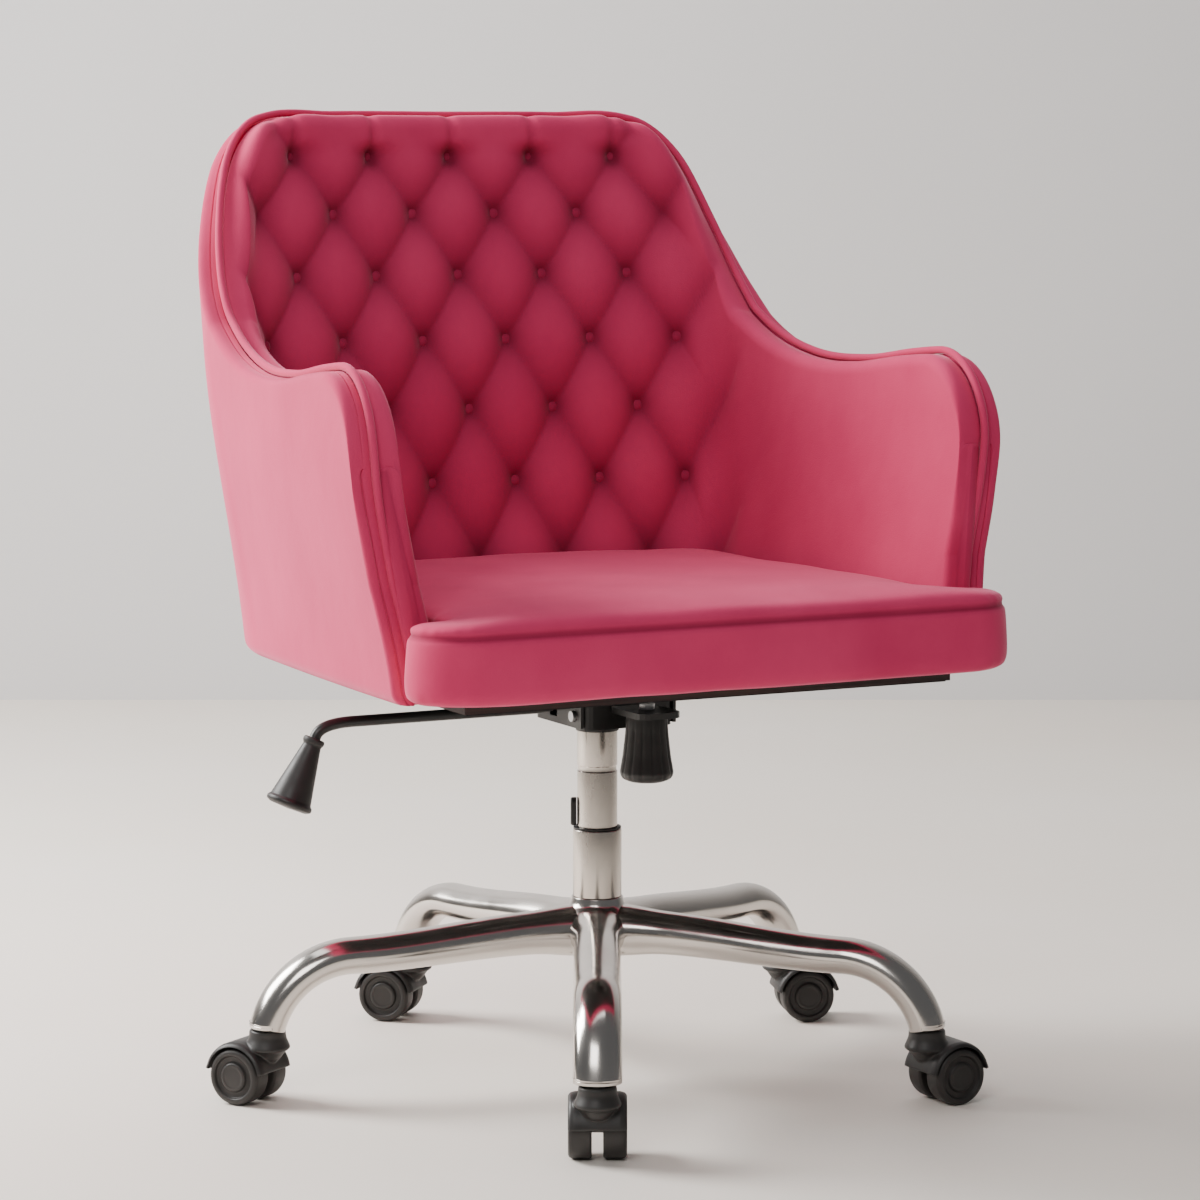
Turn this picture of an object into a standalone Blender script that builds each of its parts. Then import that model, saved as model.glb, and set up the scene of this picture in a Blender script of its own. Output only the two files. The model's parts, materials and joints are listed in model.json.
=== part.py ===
"""Upholstered swivel chair: tufted bucket seat, tilt mechanism, gas column, star base, twin-wheel casters.

Metres, +Z up.  Every piece is drawn with the column's axis at x = y = 0 and its front facing -Y.
The empty chair_frame then stands the whole chair so that its bounding box is centred on the origin.
"""
import math

import bmesh
import bpy
from mathutils import Vector

# ---- driving dimensions (metres, degrees) ----

COLUMN_X = 0.0115             # where the column stands, so that the chair's box is centred on the origin
COLUMN_Y = -0.0335
GAP = 0.0003                  # between pieces that touch
RUNNING_GAP = 0.0006          # between a round piece and the hole it turns or slides in

# casters
WHEEL_RADIUS = 0.0265
WHEEL_WIDTH = 0.0215
WHEEL_SPACING = 0.0100        # between the two wheels' inner faces
WHEEL_STEPS = 18
WHEEL_CAP_DEPTH = 0.0043      # from the wheel's outer face to the end of the axle's blind bore
TRAIL_INSET = 0.0045          # the swivel axis stands inside the wheels' edge by this much
CASTER_HEADINGS = (63.0, 3.0, -18.0, 135.0, 123.0)      # the way each caster trails
AXLE_RADIUS = 0.004
HOOD_CLEARANCE = 0.0015
HOOD_WALL = 0.0035
HOOD_WEB = 0.0084
HOOD_ENDS = (12.0, 168.0)     # where the arched cover starts and stops, about the axle
HOOD_INSET = 0.0004           # the hood is narrower than the wheel pair by this much at each side
STEM_RADIUS = 0.0055
STEM_FOOT_WALL = 0.005        # hood material under the stem
STEM_ENGAGEMENT = 0.026       # length of stem inside the arm
NECK_RADIUS = 0.0175
NECK_OVERLAP = 0.0095         # the neck's foot is below the wheels' top by this much
NECK_HEIGHT = 0.027

# star base
BASE_RADIUS = 0.320           # column axis to caster stem
BASE_TURN = -117.0            # direction of the first arm
ARM_COUNT = 5
ARM_ROOT_HEIGHT = 0.1447      # centre line of an arm at the hub
ARM_DROP = 0.011              # fall of the centre line out to the bend
ARM_BEND_ANGLE = 75.0         # how far the arm turns down before its end
ARM_END_GAP = 0.0015          # between the arm's end and the caster's neck
ARM_WIDTH = 0.043
ARM_ROOT_DEPTH = 0.042
ARM_END_DEPTH = 0.033
ARM_WALL = 0.002
HUB_WALL = 0.014
HUB_LIP = 0.007               # width of the hub's rounded lower edge
HUB_RISE = 0.0315             # from the arms' centre line to the hub's top
HUB_DEPTH = 0.0555
WELD_GAP = 0.0008             # between the hub's round side and an arm's end

# gas column
GAS_RADIUS = 0.019
GAS_LENGTH = 0.1992
GAS_TAPER = 0.0045            # how much slimmer the cylinder's top is
CONE_STEP = 0.0025            # the cone starts slimmer than the cylinder by this much
GROOVE_RISE = 0.055           # from the tube's top to the cylinder's snap groove
GROOVE_WIDTH = 0.006
GROOVE_DEPTH = 0.0006
BUSH_CLEARANCE = 0.0005
BUSH_WALL = 0.0007
BUSH_DEPTH = 0.060
BUSH_FLANGE = 0.0018
TUBE_WALL = 0.0025
TUBE_LENGTH = 0.162
TUBE_SPIGOT = 0.0975          # length of the tube below the hub's top
TUBE_FOOT_WALL = 0.005
SPIGOT_STEP = 0.0005          # the tube is slimmer inside the hub by this much
TAB_HEIGHT = 0.027
TAB_WIDTH = 0.010
TAB_DEPTH = 0.0055
TAB_TURN = 153.0
ROD_RADIUS = 0.005
ROD_TAIL = 0.005              # length of rod below the tube's foot
ROD_RISE = 0.002              # from the tube's top to the rod's end
WASHER_THICKNESS = 0.003
BEARING_RADIUS = 0.016
CLIP_RADIUS = 0.010
PIN_RADIUS = 0.004
PIN_RISE = 0.0048             # how far the pin stands out of the cylinder
COLLAR_WALL = 0.0010
COLLAR_HEIGHT = 0.0105
COLUMN_EXTENSION = 0.104      # from the fixed tube's top to the tilt housing, as the chair stands

# tilt mechanism
HOUSING_HEIGHT = 0.022
HOUSING_HALF_WIDTH = 0.046
HOUSING_FRONT = -0.066
HOUSING_REAR = 0.040
HOUSING_WALL = 0.0035
HOUSING_CORNER = 0.008
BOSS_WALL = 0.005
CYLINDER_DROP = 0.0028        # from the housing's top edge down to the cylinder's end
PIVOT_Y = -0.050
PIVOT_DROP = 0.010            # from the housing's top edge down to the pivot
PIVOT_RADIUS = 0.005
SHAFT_OVERHANG = 0.004
NOSE_REACH = 0.064            # how far the spring bracket stands out in front
NOSE_HALF_WIDTH = 0.022
NOSE_THICKNESS = 0.006
NOSE_CORNER = 0.010
KNOB_FORWARD = 0.034          # from the housing's front to the knob's axis
KNOB_LENGTH = 0.068           # from the housing's top edge down to the knob's foot
KNOB_FLOOR = 0.020            # from the knob's foot to the floor of its cup
KNOB_TOP_RADIUS = 0.019
KNOB_BOTTOM_RADIUS = 0.025
KNOB_WALL = 0.003
THREAD_DEPTH = 0.012          # how deep the bolt sits in the knob's floor
BOLT_RADIUS = 0.004
BOLT_HEAD_RADIUS = 0.0075
BOLT_HEAD_HEIGHT = 0.005
SPRING_RADIUS = 0.011
SPRING_WIRE = 0.0018
SPRING_TURNS = 4

# height lever
LEVER_RADIUS = 0.0052
LEVER_TIP_RADIUS = 0.003
LEVER_DROP = 0.008            # from the housing's top edge down to the lever's axis
LEVER_REACH = 0.250           # column axis to the start of the bend
LEVER_TIP_X = 0.014
LEVER_TIP_RISE = 0.006        # from the fulcrum up to the tip over the pin
FULCRUM_INSET = 0.010         # from the housing's side in to the lever's fulcrum
FULCRUM_DROP = 0.0005         # from the housing's top edge down to the fulcrum
NOTCH_HALF_WIDTH = 0.0075
LEVER_BUSH_WALL = 0.0020
LEVER_BUSH_HALF_LENGTH = 0.004
GRIP_REACH = 0.0375           # from the start of the bend out to the grip's top end
GRIP_DROP = 0.013             # from the lever's axis down to the grip's top end
GRIP_LENGTH = 0.068
GRIP_LEAN = 24.0
GRIP_ENGAGEMENT = 0.028       # length of rod inside the grip
GRIP_TOP_RADIUS = 0.010
GRIP_BOTTOM_RADIUS = 0.0215

# seat structure
TILT_ROOM = 0.0215            # from the housing's top edge up to the seat plate
PLATE_THICKNESS = 0.004
PLATE_HALF_WIDTH = 0.085
PLATE_HALF_DEPTH = 0.105
PLATE_CORNER = 0.012
EAR_THICKNESS = 0.003
EAR_HALF_DEPTH = 0.014
EAR_DROP = 0.010              # from the pivot down to the ear's lower edge
COVER_THICKNESS = 0.0009
COVER_INSET = 0.003           # from the board's edge to the cover's
BOARD_THICKNESS = 0.0069
BOARD_INSET = 0.055           # from the shell's outer face to the board's edge
BOARD_REACH = 0.030           # how far the board stands out in front of the arms
SCREW_INSET_X = 0.015         # from the plate's edges to its screws
SCREW_INSET_Y = 0.020
SCREW_RADIUS = 0.003
SCREW_HEAD_RADIUS = 0.0065
SCREW_HEAD_HEIGHT = 0.003
SCREW_COVER = 0.0015          # board left above a screw's tip

# upholstered shell
SEAT_HALF_WIDTH = 0.300       # outer face of the arms at the bottom, in front
ARM_FLARE = 0.030             # how far the arms lean out on their way up
REAR_NARROWING = 0.018        # how much narrower each side is where the rear corners begin
REAR_FLARE = 0.022
BACK_Y = 0.275                # rear face at the bottom
BACK_LEAN = 0.095
CORNER_DEPTH = 0.130
CORNER_WIDTH = 0.082
CORNER_EASE = 0.062           # how slowly the outline turns into its rear corner
BACK_BOW = 0.020
ARM_FRONT_Y = -0.180
ARM_FRONT_SLANT = 0.020
ARM_BOW = 0.005
ARM_HEIGHT = 0.2918
ARM_SHOULDER_DROP = 0.080     # from the arm's top to where its front starts to round over
BACK_HEIGHT = 0.5118
SHELL_WALL = 0.0205
PAD_GAP = 0.0015              # between the shell's inner face and the pad
PAD_WALL = 0.0240
WALL_EASE = 0.006             # rounding of a wall's top edges
FLANGE_DEPTH = 0.068
FLANGE_THICKNESS = 0.003
PIPING_RADIUS = 0.0037
PIPING_FOOT = 0.012           # from the shell's lower edge up to the welt's ends
BACK_SHARE = 0.36             # along the half outline: middle of the back to the corner
CORNER_SHARE = 0.60           # corner to the straight side
FRONT_SHARE = 0.93            # where the arm's front starts to round over

# seat cushion
CUSHION_HEIGHT = 0.078
CUSHION_REACH = 0.102         # how far the cushion stands out in front of the arms
CUSHION_EAR_REACH = 0.002     # how far its ears stand out beside the arms
CUSHION_EAR_GAP = 0.002       # between the cushion's ears and the welt on the arms' fronts
CUSHION_SIDE_GAP = 0.002
CUSHION_CORNER = 0.055
CUSHION_EAR_CORNER = 0.014
CUSHION_EDGE = 0.006

# sizes that follow from the ones above, from the floor up
AXLE_HEIGHT = WHEEL_RADIUS
CASTER_TRAIL = WHEEL_RADIUS - TRAIL_INSET
NECK_BOTTOM = AXLE_HEIGHT + WHEEL_RADIUS - NECK_OVERLAP
CASTER_HEIGHT = NECK_BOTTOM + NECK_HEIGHT
ARM_END = CASTER_HEIGHT + ARM_END_GAP
STEM_BOTTOM = NECK_BOTTOM + STEM_FOOT_WALL
STEM_TOP = ARM_END + STEM_ENGAGEMENT
BUSH_BORE = GAS_RADIUS + BUSH_CLEARANCE
TUBE_BORE = BUSH_BORE + BUSH_WALL + GAP
TUBE_RADIUS = TUBE_BORE + TUBE_WALL
SPIGOT_RADIUS = TUBE_RADIUS - SPIGOT_STEP
HUB_RADIUS = TUBE_RADIUS + HUB_WALL
HUB_TOP = ARM_ROOT_HEIGHT + HUB_RISE
TUBE_FOOT = HUB_TOP - TUBE_SPIGOT
TUBE_TOP = TUBE_FOOT + TUBE_LENGTH
ROD_TOP = TUBE_TOP + ROD_RISE
HOUSING_BOTTOM = TUBE_TOP + COLUMN_EXTENSION
HOUSING_TOP = HOUSING_BOTTOM + HOUSING_HEIGHT
GAS_TOP = HOUSING_TOP - CYLINDER_DROP
GAS_FOOT = GAS_TOP - GAS_LENGTH
CONE_BOTTOM = HOUSING_BOTTOM - 0.002
CONE_LOW_RADIUS = GAS_RADIUS - CONE_STEP
CONE_TOP_RADIUS = GAS_RADIUS - GAS_TAPER
COLLAR_BOTTOM = HOUSING_BOTTOM - COLLAR_HEIGHT
PIVOT_Z = HOUSING_TOP - PIVOT_DROP
KNOB_Y = HOUSING_FRONT - KNOB_FORWARD
KNOB_BOTTOM = HOUSING_TOP - KNOB_LENGTH
LEVER_Z = HOUSING_TOP - LEVER_DROP
LEVER_FULCRUM_X = FULCRUM_INSET - HOUSING_HALF_WIDTH
LEVER_FULCRUM_Z = HOUSING_TOP - FULCRUM_DROP
GRIP_X = -LEVER_REACH - GRIP_REACH
GRIP_Z = LEVER_Z - GRIP_DROP
PLATE_BOTTOM = HOUSING_TOP + TILT_ROOM
PLATE_TOP = PLATE_BOTTOM + PLATE_THICKNESS
SCREW_X = PLATE_HALF_WIDTH - SCREW_INSET_X
SCREW_Y = PLATE_HALF_DEPTH - SCREW_INSET_Y
COVER_BOTTOM = PLATE_TOP + GAP
BOARD_BOTTOM = COVER_BOTTOM + COVER_THICKNESS + GAP
BOARD_TOP = BOARD_BOTTOM + BOARD_THICKNESS
SCREW_TIP = BOARD_TOP - SCREW_COVER
SHELL_BOTTOM = BOARD_TOP + GAP
ARM_TOP = SHELL_BOTTOM + ARM_HEIGHT
ARM_FRONT_SHOULDER = ARM_TOP - ARM_SHOULDER_DROP
BACK_TOP = SHELL_BOTTOM + BACK_HEIGHT
REAR_HALF_WIDTH = SEAT_HALF_WIDTH - REAR_NARROWING
BACK_FLAT_X = REAR_HALF_WIDTH - CORNER_WIDTH
ARM_FRONT_FOOT_Y = ARM_FRONT_Y - ARM_FRONT_SLANT
PAD_BOTTOM = SHELL_BOTTOM + FLANGE_THICKNESS + GAP
PAD_OUTSET = SHELL_WALL + PAD_GAP
PAD_FACE = PAD_OUTSET + PAD_WALL
EDGE_DROP = 2 * PIPING_RADIUS + GAP
CUSHION_FRONT_Y = ARM_FRONT_Y - CUSHION_REACH
CUSHION_EAR_HALF_WIDTH = SEAT_HALF_WIDTH + CUSHION_EAR_REACH


def clear_scene():
    for item in list(bpy.data.objects):
        bpy.data.objects.remove(item, do_unlink=True)


def finish(name, colour, roughness, metallic=0.0):
    """A Principled material."""
    material = bpy.data.materials.new(name)
    material.use_nodes = True
    shader = material.node_tree.nodes["Principled BSDF"]
    shader.inputs["Base Color"].default_value = (*colour, 1.0)
    shader.inputs["Roughness"].default_value = roughness
    shader.inputs["Metallic"].default_value = metallic
    material.diffuse_color = (*colour, 1.0)
    return material


# ---- placing ----

def pivot(name, at, parent=None, turn=0.0):
    """An empty on a joint's axis.  Pieces under an unturned pivot are drawn in the chair's own frame."""
    empty = bpy.data.objects.new(name, None)
    bpy.context.scene.collection.objects.link(empty)
    empty.empty_display_size = 0.02
    start = Vector(parent["drawn_from"]) if parent else Vector((0.0, 0.0, 0.0))
    empty.parent = parent
    empty.location = Vector(at) - start
    empty.rotation_euler = (0.0, 0.0, math.radians(turn))
    empty["drawn_from"] = list(at)
    return empty


def local_pivot(name, at, parent, turn=0.0):
    """A pivot whose pieces are drawn around its own origin, as the casters' are."""
    empty = pivot(name, at, parent, turn)
    empty["drawn_from"] = [0.0, 0.0, 0.0]
    return empty


def piece(name, mesh, material, parent, sharp=35.0):
    """A named sub-part from a mesh drawn in its pivot's frame."""
    mesh.name = name
    if not mesh.materials:
        mesh.materials.append(material)
    mesh.shade_smooth()
    mesh.set_sharp_from_angle(angle=math.radians(sharp))
    item = bpy.data.objects.new(name, mesh)
    bpy.context.scene.collection.objects.link(item)
    item.parent = parent
    item.location = -Vector(parent["drawn_from"])
    return item


# ---- shapes ----

def closed_mesh(shape):
    """A bmesh as a mesh with merged points and outward faces."""
    bmesh.ops.remove_doubles(shape, verts=shape.verts, dist=1e-6)
    bmesh.ops.recalc_face_normals(shape, faces=shape.faces)
    mesh = bpy.data.meshes.new("shape")
    shape.to_mesh(mesh)
    shape.free()
    return mesh


def turned(outline, steps, ring=False, start=0.0):
    """A solid of revolution about Z from (radius, height) points; a ring's last point joins its first."""
    shape = bmesh.new()
    across = (math.cos(start), math.sin(start))
    points = [shape.verts.new((r * across[0], r * across[1], z)) for r, z in outline]
    edges = [shape.edges.new(pair) for pair in zip(points, points[1:])]
    if ring:
        edges.append(shape.edges.new((points[-1], points[0])))
    bmesh.ops.spin(shape, geom=points + edges, cent=(0, 0, 0), axis=(0, 0, 1),
                   angle=math.tau, steps=steps, use_merge=True)
    return closed_mesh(shape)


def block(low, high, bevel=0.0, segments=2, upright_only=False):
    """A box between two corners, with its edges rounded by bevel."""
    shape = bmesh.new()
    size = [b - a for a, b in zip(low, high)]
    middle = [(a + b) / 2 for a, b in zip(low, high)]
    bmesh.ops.create_cube(shape, size=1.0)
    bmesh.ops.scale(shape, verts=shape.verts, vec=size)
    bmesh.ops.translate(shape, verts=shape.verts, vec=middle)
    if bevel:
        edges = [e for e in shape.edges if not upright_only or is_upright(e)]
        bmesh.ops.bevel(shape, geom=edges, offset=bevel, segments=segments, affect="EDGES", profile=0.5)
    return closed_mesh(shape)


def is_upright(edge):
    a, b = (v.co for v in edge.verts)
    return abs(a.z - b.z) > 1e-6


def extruded(outline, low, high):
    """A prism from an (x, y) outline."""
    shape = bmesh.new()
    base = shape.faces.new([shape.verts.new((x, y, low)) for x, y in outline])
    grown = bmesh.ops.extrude_face_region(shape, geom=[base])["geom"]
    bmesh.ops.translate(shape, verts=[v for v in grown if isinstance(v, bmesh.types.BMVert)],
                        vec=(0, 0, high - low))
    return closed_mesh(shape)


def lofted(rings, ends="flat"):
    """A skin through rings of points.  Ends: flat faces, paired strips, or joined to each other."""
    shape = bmesh.new()
    loops = [[shape.verts.new(p) for p in ring] for ring in rings]
    pairs = list(zip(loops, loops[1:]))
    if ends == "joined":
        pairs.append((loops[-1], loops[0]))
    count = len(loops[0])
    for one, two in pairs:
        for i in range(count):
            j = (i + 1) % count
            shape.faces.new((one[i], one[j], two[j], two[i]))
    for loop in (loops[0], loops[-1]) if ends != "joined" else ():
        if ends == "flat":
            shape.faces.new(loop)
        for i in range(count // 2 - 1) if ends == "paired" else ():
            shape.faces.new((loop[i], loop[i + 1], loop[count - 2 - i], loop[count - 1 - i]))
    return closed_mesh(shape)


def rounded(path_point, ahead, side, radius, steps):
    """A circle of points about a path point, square to the direction ahead."""
    side = (side - ahead * side.dot(ahead)).normalized()
    up = ahead.cross(side).normalized()
    angles = [math.tau * i / steps for i in range(steps)]
    return [path_point + (side * math.cos(a) + up * math.sin(a)) * radius for a in angles]


def swept(path, radii, steps, side):
    """A round bar along a path, with a radius at each point."""
    rings = []
    for i, point in enumerate(path):
        before, after = path[max(i - 1, 0)], path[min(i + 1, len(path) - 1)]
        rings.append(rounded(point, (after - before).normalized(), side, radii[i], steps))
    return lofted(rings)


def along_y(mesh):
    """Turns a mesh drawn about Z so that it lies about +Y."""
    for vertex in mesh.vertices:
        x, y, z = vertex.co
        vertex.co = (x, z, -y)
    return mesh


def along_x(mesh):
    """Turns a mesh drawn about Z so that it lies about +X."""
    for vertex in mesh.vertices:
        x, y, z = vertex.co
        vertex.co = (z, y, -x)
    return mesh


def shifted(mesh, by):
    for vertex in mesh.vertices:
        vertex.co += Vector(by)
    return mesh


def rod(radius, low, high, steps=16):
    """A plain round bar about Z, between two heights."""
    return turned([(0, low), (radius, low), (radius, high), (0, high)], steps)


def carved(body, joins=(), cuts=()):
    """The body with other solids joined to it and then cut from it."""
    holder = helper(body)
    for kind, solids in (("UNION", joins), ("DIFFERENCE", cuts)):
        for solid in solids:
            tool = helper(solid)
            change = holder.modifiers.new("boolean", "BOOLEAN")
            change.operation = kind
            change.solver = "EXACT"
            change.object = tool
    graph = bpy.context.evaluated_depsgraph_get()
    mesh = bpy.data.meshes.new_from_object(holder.evaluated_get(graph))
    tools = [change.object for change in holder.modifiers]
    for item in [holder, *tools]:
        bpy.data.objects.remove(item, do_unlink=True)
    mesh.materials.clear()
    return mesh


def helper(mesh):
    """A hidden stand-in that a boolean works with."""
    item = bpy.data.objects.new("helper", mesh)
    bpy.context.scene.collection.objects.link(item)
    item.hide_render = True
    item.display_type = "WIRE"
    return item


# ---- star base ----

def arm_depth(reach):
    """Height of an arm's oval section at a distance from the column."""
    share = min(max((reach - HUB_RADIUS) / (BASE_RADIUS - HUB_RADIUS), 0.0), 1.0)
    return ARM_END_DEPTH + (ARM_ROOT_DEPTH - ARM_END_DEPTH) * (1 - share) ** 1.6


def arm_path(first, bend_steps):
    """Centre line points (reach, height, slope angle) from the hub, through the bend, to the caster."""
    turn_down = math.radians(ARM_BEND_ANGLE)
    bend_height = ARM_ROOT_HEIGHT - ARM_DROP
    radius = (bend_height - ARM_END) / (1 - math.cos(turn_down))
    bend_start = BASE_RADIUS - radius * math.sin(turn_down)
    points = []
    for share in (0.0, 0.35, 0.7, 1.0):
        reach = first + (bend_start - first) * share
        fall = ARM_DROP * (reach - HUB_RADIUS) / (bend_start - HUB_RADIUS)
        points.append((reach, ARM_ROOT_HEIGHT - fall, 0.0))
    for i in range(1, bend_steps):
        turn = turn_down * i / bend_steps
        height = bend_height - radius * (1 - math.cos(turn))
        points.append((bend_start + radius * math.sin(turn), height, turn))
    return points


def arm_ring(reach, height, turn, shrink, sides):
    """One oval section, square to the arm."""
    half_depth = arm_depth(reach) / 2 - shrink
    half_width = ARM_WIDTH / 2 - shrink
    ring = []
    for i in range(sides):
        angle = math.tau * i / sides
        across = half_width * math.cos(angle)
        up = half_depth * math.sin(angle)
        ring.append((reach + up * math.sin(turn), across, height + up * math.cos(turn)))
    return ring


def against_hub(ring):
    """The arm's first section, following the hub's round side."""
    face = HUB_RADIUS + WELD_GAP
    return [(math.sqrt(face ** 2 - y ** 2), y, z) for x, y, z in ring]


def base_arm_mesh(sides=12):
    """A tube from the hub to the caster, with a solid end bored for the caster's stem."""
    line = arm_path(HUB_RADIUS, 6)
    last = (BASE_RADIUS, ARM_END, math.pi / 2)
    outer = [arm_ring(*p, 0.0, sides) for p in line + [last]]
    inner = [arm_ring(*p, ARM_WALL, sides) for p in line]
    outer[0] = against_hub(outer[0])
    inner[0] = against_hub(inner[0])
    bore = STEM_RADIUS + RUNNING_GAP
    turns = [math.tau * i / sides for i in range(sides)]
    bored = [[(BASE_RADIUS + bore * math.sin(a), bore * math.cos(a), z) for a in turns]
             for z in (ARM_END, STEM_TOP + GAP)]
    inner = [ring for ring in inner if min(z for x, y, z in ring) > STEM_TOP + 2 * GAP]
    return lofted(outer + bored + list(reversed(inner)), ends="joined")


def base_hub_mesh():
    bottom = HUB_TOP - HUB_DEPTH
    bore = SPIGOT_RADIUS + GAP
    outline = [(bore, bottom), (HUB_RADIUS - HUB_LIP, bottom), (HUB_RADIUS, bottom + 0.003),
               (HUB_RADIUS, HUB_TOP - 0.018), (HUB_RADIUS - 0.0075, HUB_TOP - 0.0125),
               (TUBE_RADIUS + 0.0025, HUB_TOP - 0.006), (TUBE_RADIUS + 0.001, HUB_TOP), (bore, HUB_TOP)]
    return turned(outline, 30, ring=True)


def build_base(root, metal):
    piece("base_hub", base_hub_mesh(), metal, root)
    arm_mesh = base_arm_mesh()
    for number in range(1, ARM_COUNT + 1):
        arm = piece(f"base_arm_{number}", arm_mesh.copy(), metal, root)
        arm.rotation_euler = (0, 0, math.radians(arm_angle(number)))


def arm_angle(number):
    return BASE_TURN + 360.0 / ARM_COUNT * (number - 1)


# ---- gas column ----

def build_column(root, metal, plastic):
    """The fixed tube in the hub, its guide bush and the bush's locking tab."""
    shoulder = HUB_TOP + GAP
    rod_hole = ROD_RADIUS + RUNNING_GAP
    floor = TUBE_FOOT + TUBE_FOOT_WALL
    tube = [(SPIGOT_RADIUS, TUBE_FOOT), (SPIGOT_RADIUS, shoulder), (TUBE_RADIUS, shoulder + SPIGOT_STEP),
            (TUBE_RADIUS, TUBE_TOP - 0.0015), (TUBE_RADIUS - 0.001, TUBE_TOP), (TUBE_BORE, TUBE_TOP),
            (TUBE_BORE, floor), (rod_hole, floor), (rod_hole, TUBE_FOOT)]
    piece("lower_column", turned(tube, 24, ring=True), metal, root)
    bush_outer = TUBE_BORE - GAP
    flange_bottom = TUBE_TOP + GAP
    flange_top = flange_bottom + BUSH_FLANGE
    bush = [(BUSH_BORE, TUBE_TOP - BUSH_DEPTH), (bush_outer, TUBE_TOP - BUSH_DEPTH),
            (bush_outer, flange_bottom), (TUBE_RADIUS, flange_bottom), (TUBE_RADIUS, flange_top),
            (BUSH_BORE, flange_top)]
    piece("column_guide_bush", turned(bush, 24, ring=True), plastic, root)
    tab_near = GAS_RADIUS + RUNNING_GAP
    tab = block((tab_near, -TAB_WIDTH / 2, flange_top + GAP),
                (tab_near + TAB_DEPTH, TAB_WIDTH / 2, flange_top + GAP + TAB_HEIGHT), 0.0025, 2)
    tab_piece = piece("column_tab", tab, plastic, root)
    tab_piece.rotation_euler = (0, 0, math.radians(TAB_TURN))


def build_spindle(swivel, metal, steel):
    """The piston rod, which turns on a thrust bearing in the tube's foot."""
    piece("piston_rod", rod(ROD_RADIUS, TUBE_FOOT - ROD_TAIL, ROD_TOP, 12), metal, swivel)
    bore = ROD_RADIUS + GAP
    bearing_bottom = TUBE_FOOT + TUBE_FOOT_WALL + GAP
    bearing_top = bearing_bottom + 2 * WASHER_THICKNESS
    bearing = [(bore, bearing_bottom), (BEARING_RADIUS, bearing_bottom), (BEARING_RADIUS, bearing_top),
               (bore, bearing_top)]
    piece("thrust_bearing", turned(bearing, 16, ring=True), steel, swivel)
    clip_top = TUBE_FOOT - GAP
    clip_bottom = clip_top - WASHER_THICKNESS
    clip = [(bore, clip_bottom), (CLIP_RADIUS, clip_bottom), (CLIP_RADIUS, clip_top), (bore, clip_top)]
    piece("column_foot_clip", turned(clip, 16, ring=True), steel, swivel)


def build_gas_cylinder(lift, metal, plastic):
    """The sliding cylinder, bored below for the rod and above for the release pin, and its collar."""
    rod_bore = ROD_RADIUS + RUNNING_GAP
    pin_bore = PIN_RADIUS + RUNNING_GAP
    rod_bore_top = COLLAR_BOTTOM - 0.020
    pin_bore_foot = COLLAR_BOTTOM + 0.004
    groove = GAS_RADIUS - GROOVE_DEPTH
    groove_low = TUBE_TOP + GROOVE_RISE
    groove_high = groove_low + GROOVE_WIDTH
    outline = [(0, rod_bore_top), (rod_bore, rod_bore_top), (rod_bore, GAS_FOOT), (GAS_RADIUS, GAS_FOOT),
               (GAS_RADIUS, groove_low), (groove, groove_low + 0.001), (groove, groove_high - 0.001),
               (GAS_RADIUS, groove_high), (GAS_RADIUS, COLLAR_BOTTOM), (CONE_LOW_RADIUS, CONE_BOTTOM),
               (CONE_TOP_RADIUS, GAS_TOP), (pin_bore, GAS_TOP), (pin_bore, pin_bore_foot),
               (0, pin_bore_foot)]
    piece("gas_cylinder", turned(outline, 24), metal, lift)
    inner = GAS_RADIUS + GAP
    collar = [(inner, COLLAR_BOTTOM), (inner + COLLAR_WALL, COLLAR_BOTTOM),
              (inner + COLLAR_WALL, HOUSING_BOTTOM - GAP), (inner, HOUSING_BOTTOM - GAP)]
    piece("column_collar", turned(collar, 24, ring=True), plastic, lift)


def build_release_pin(press, steel):
    piece("release_pin", rod(PIN_RADIUS, COLLAR_BOTTOM + 0.009, GAS_TOP + PIN_RISE, 12), steel, press)


# ---- tilt mechanism ----

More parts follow.
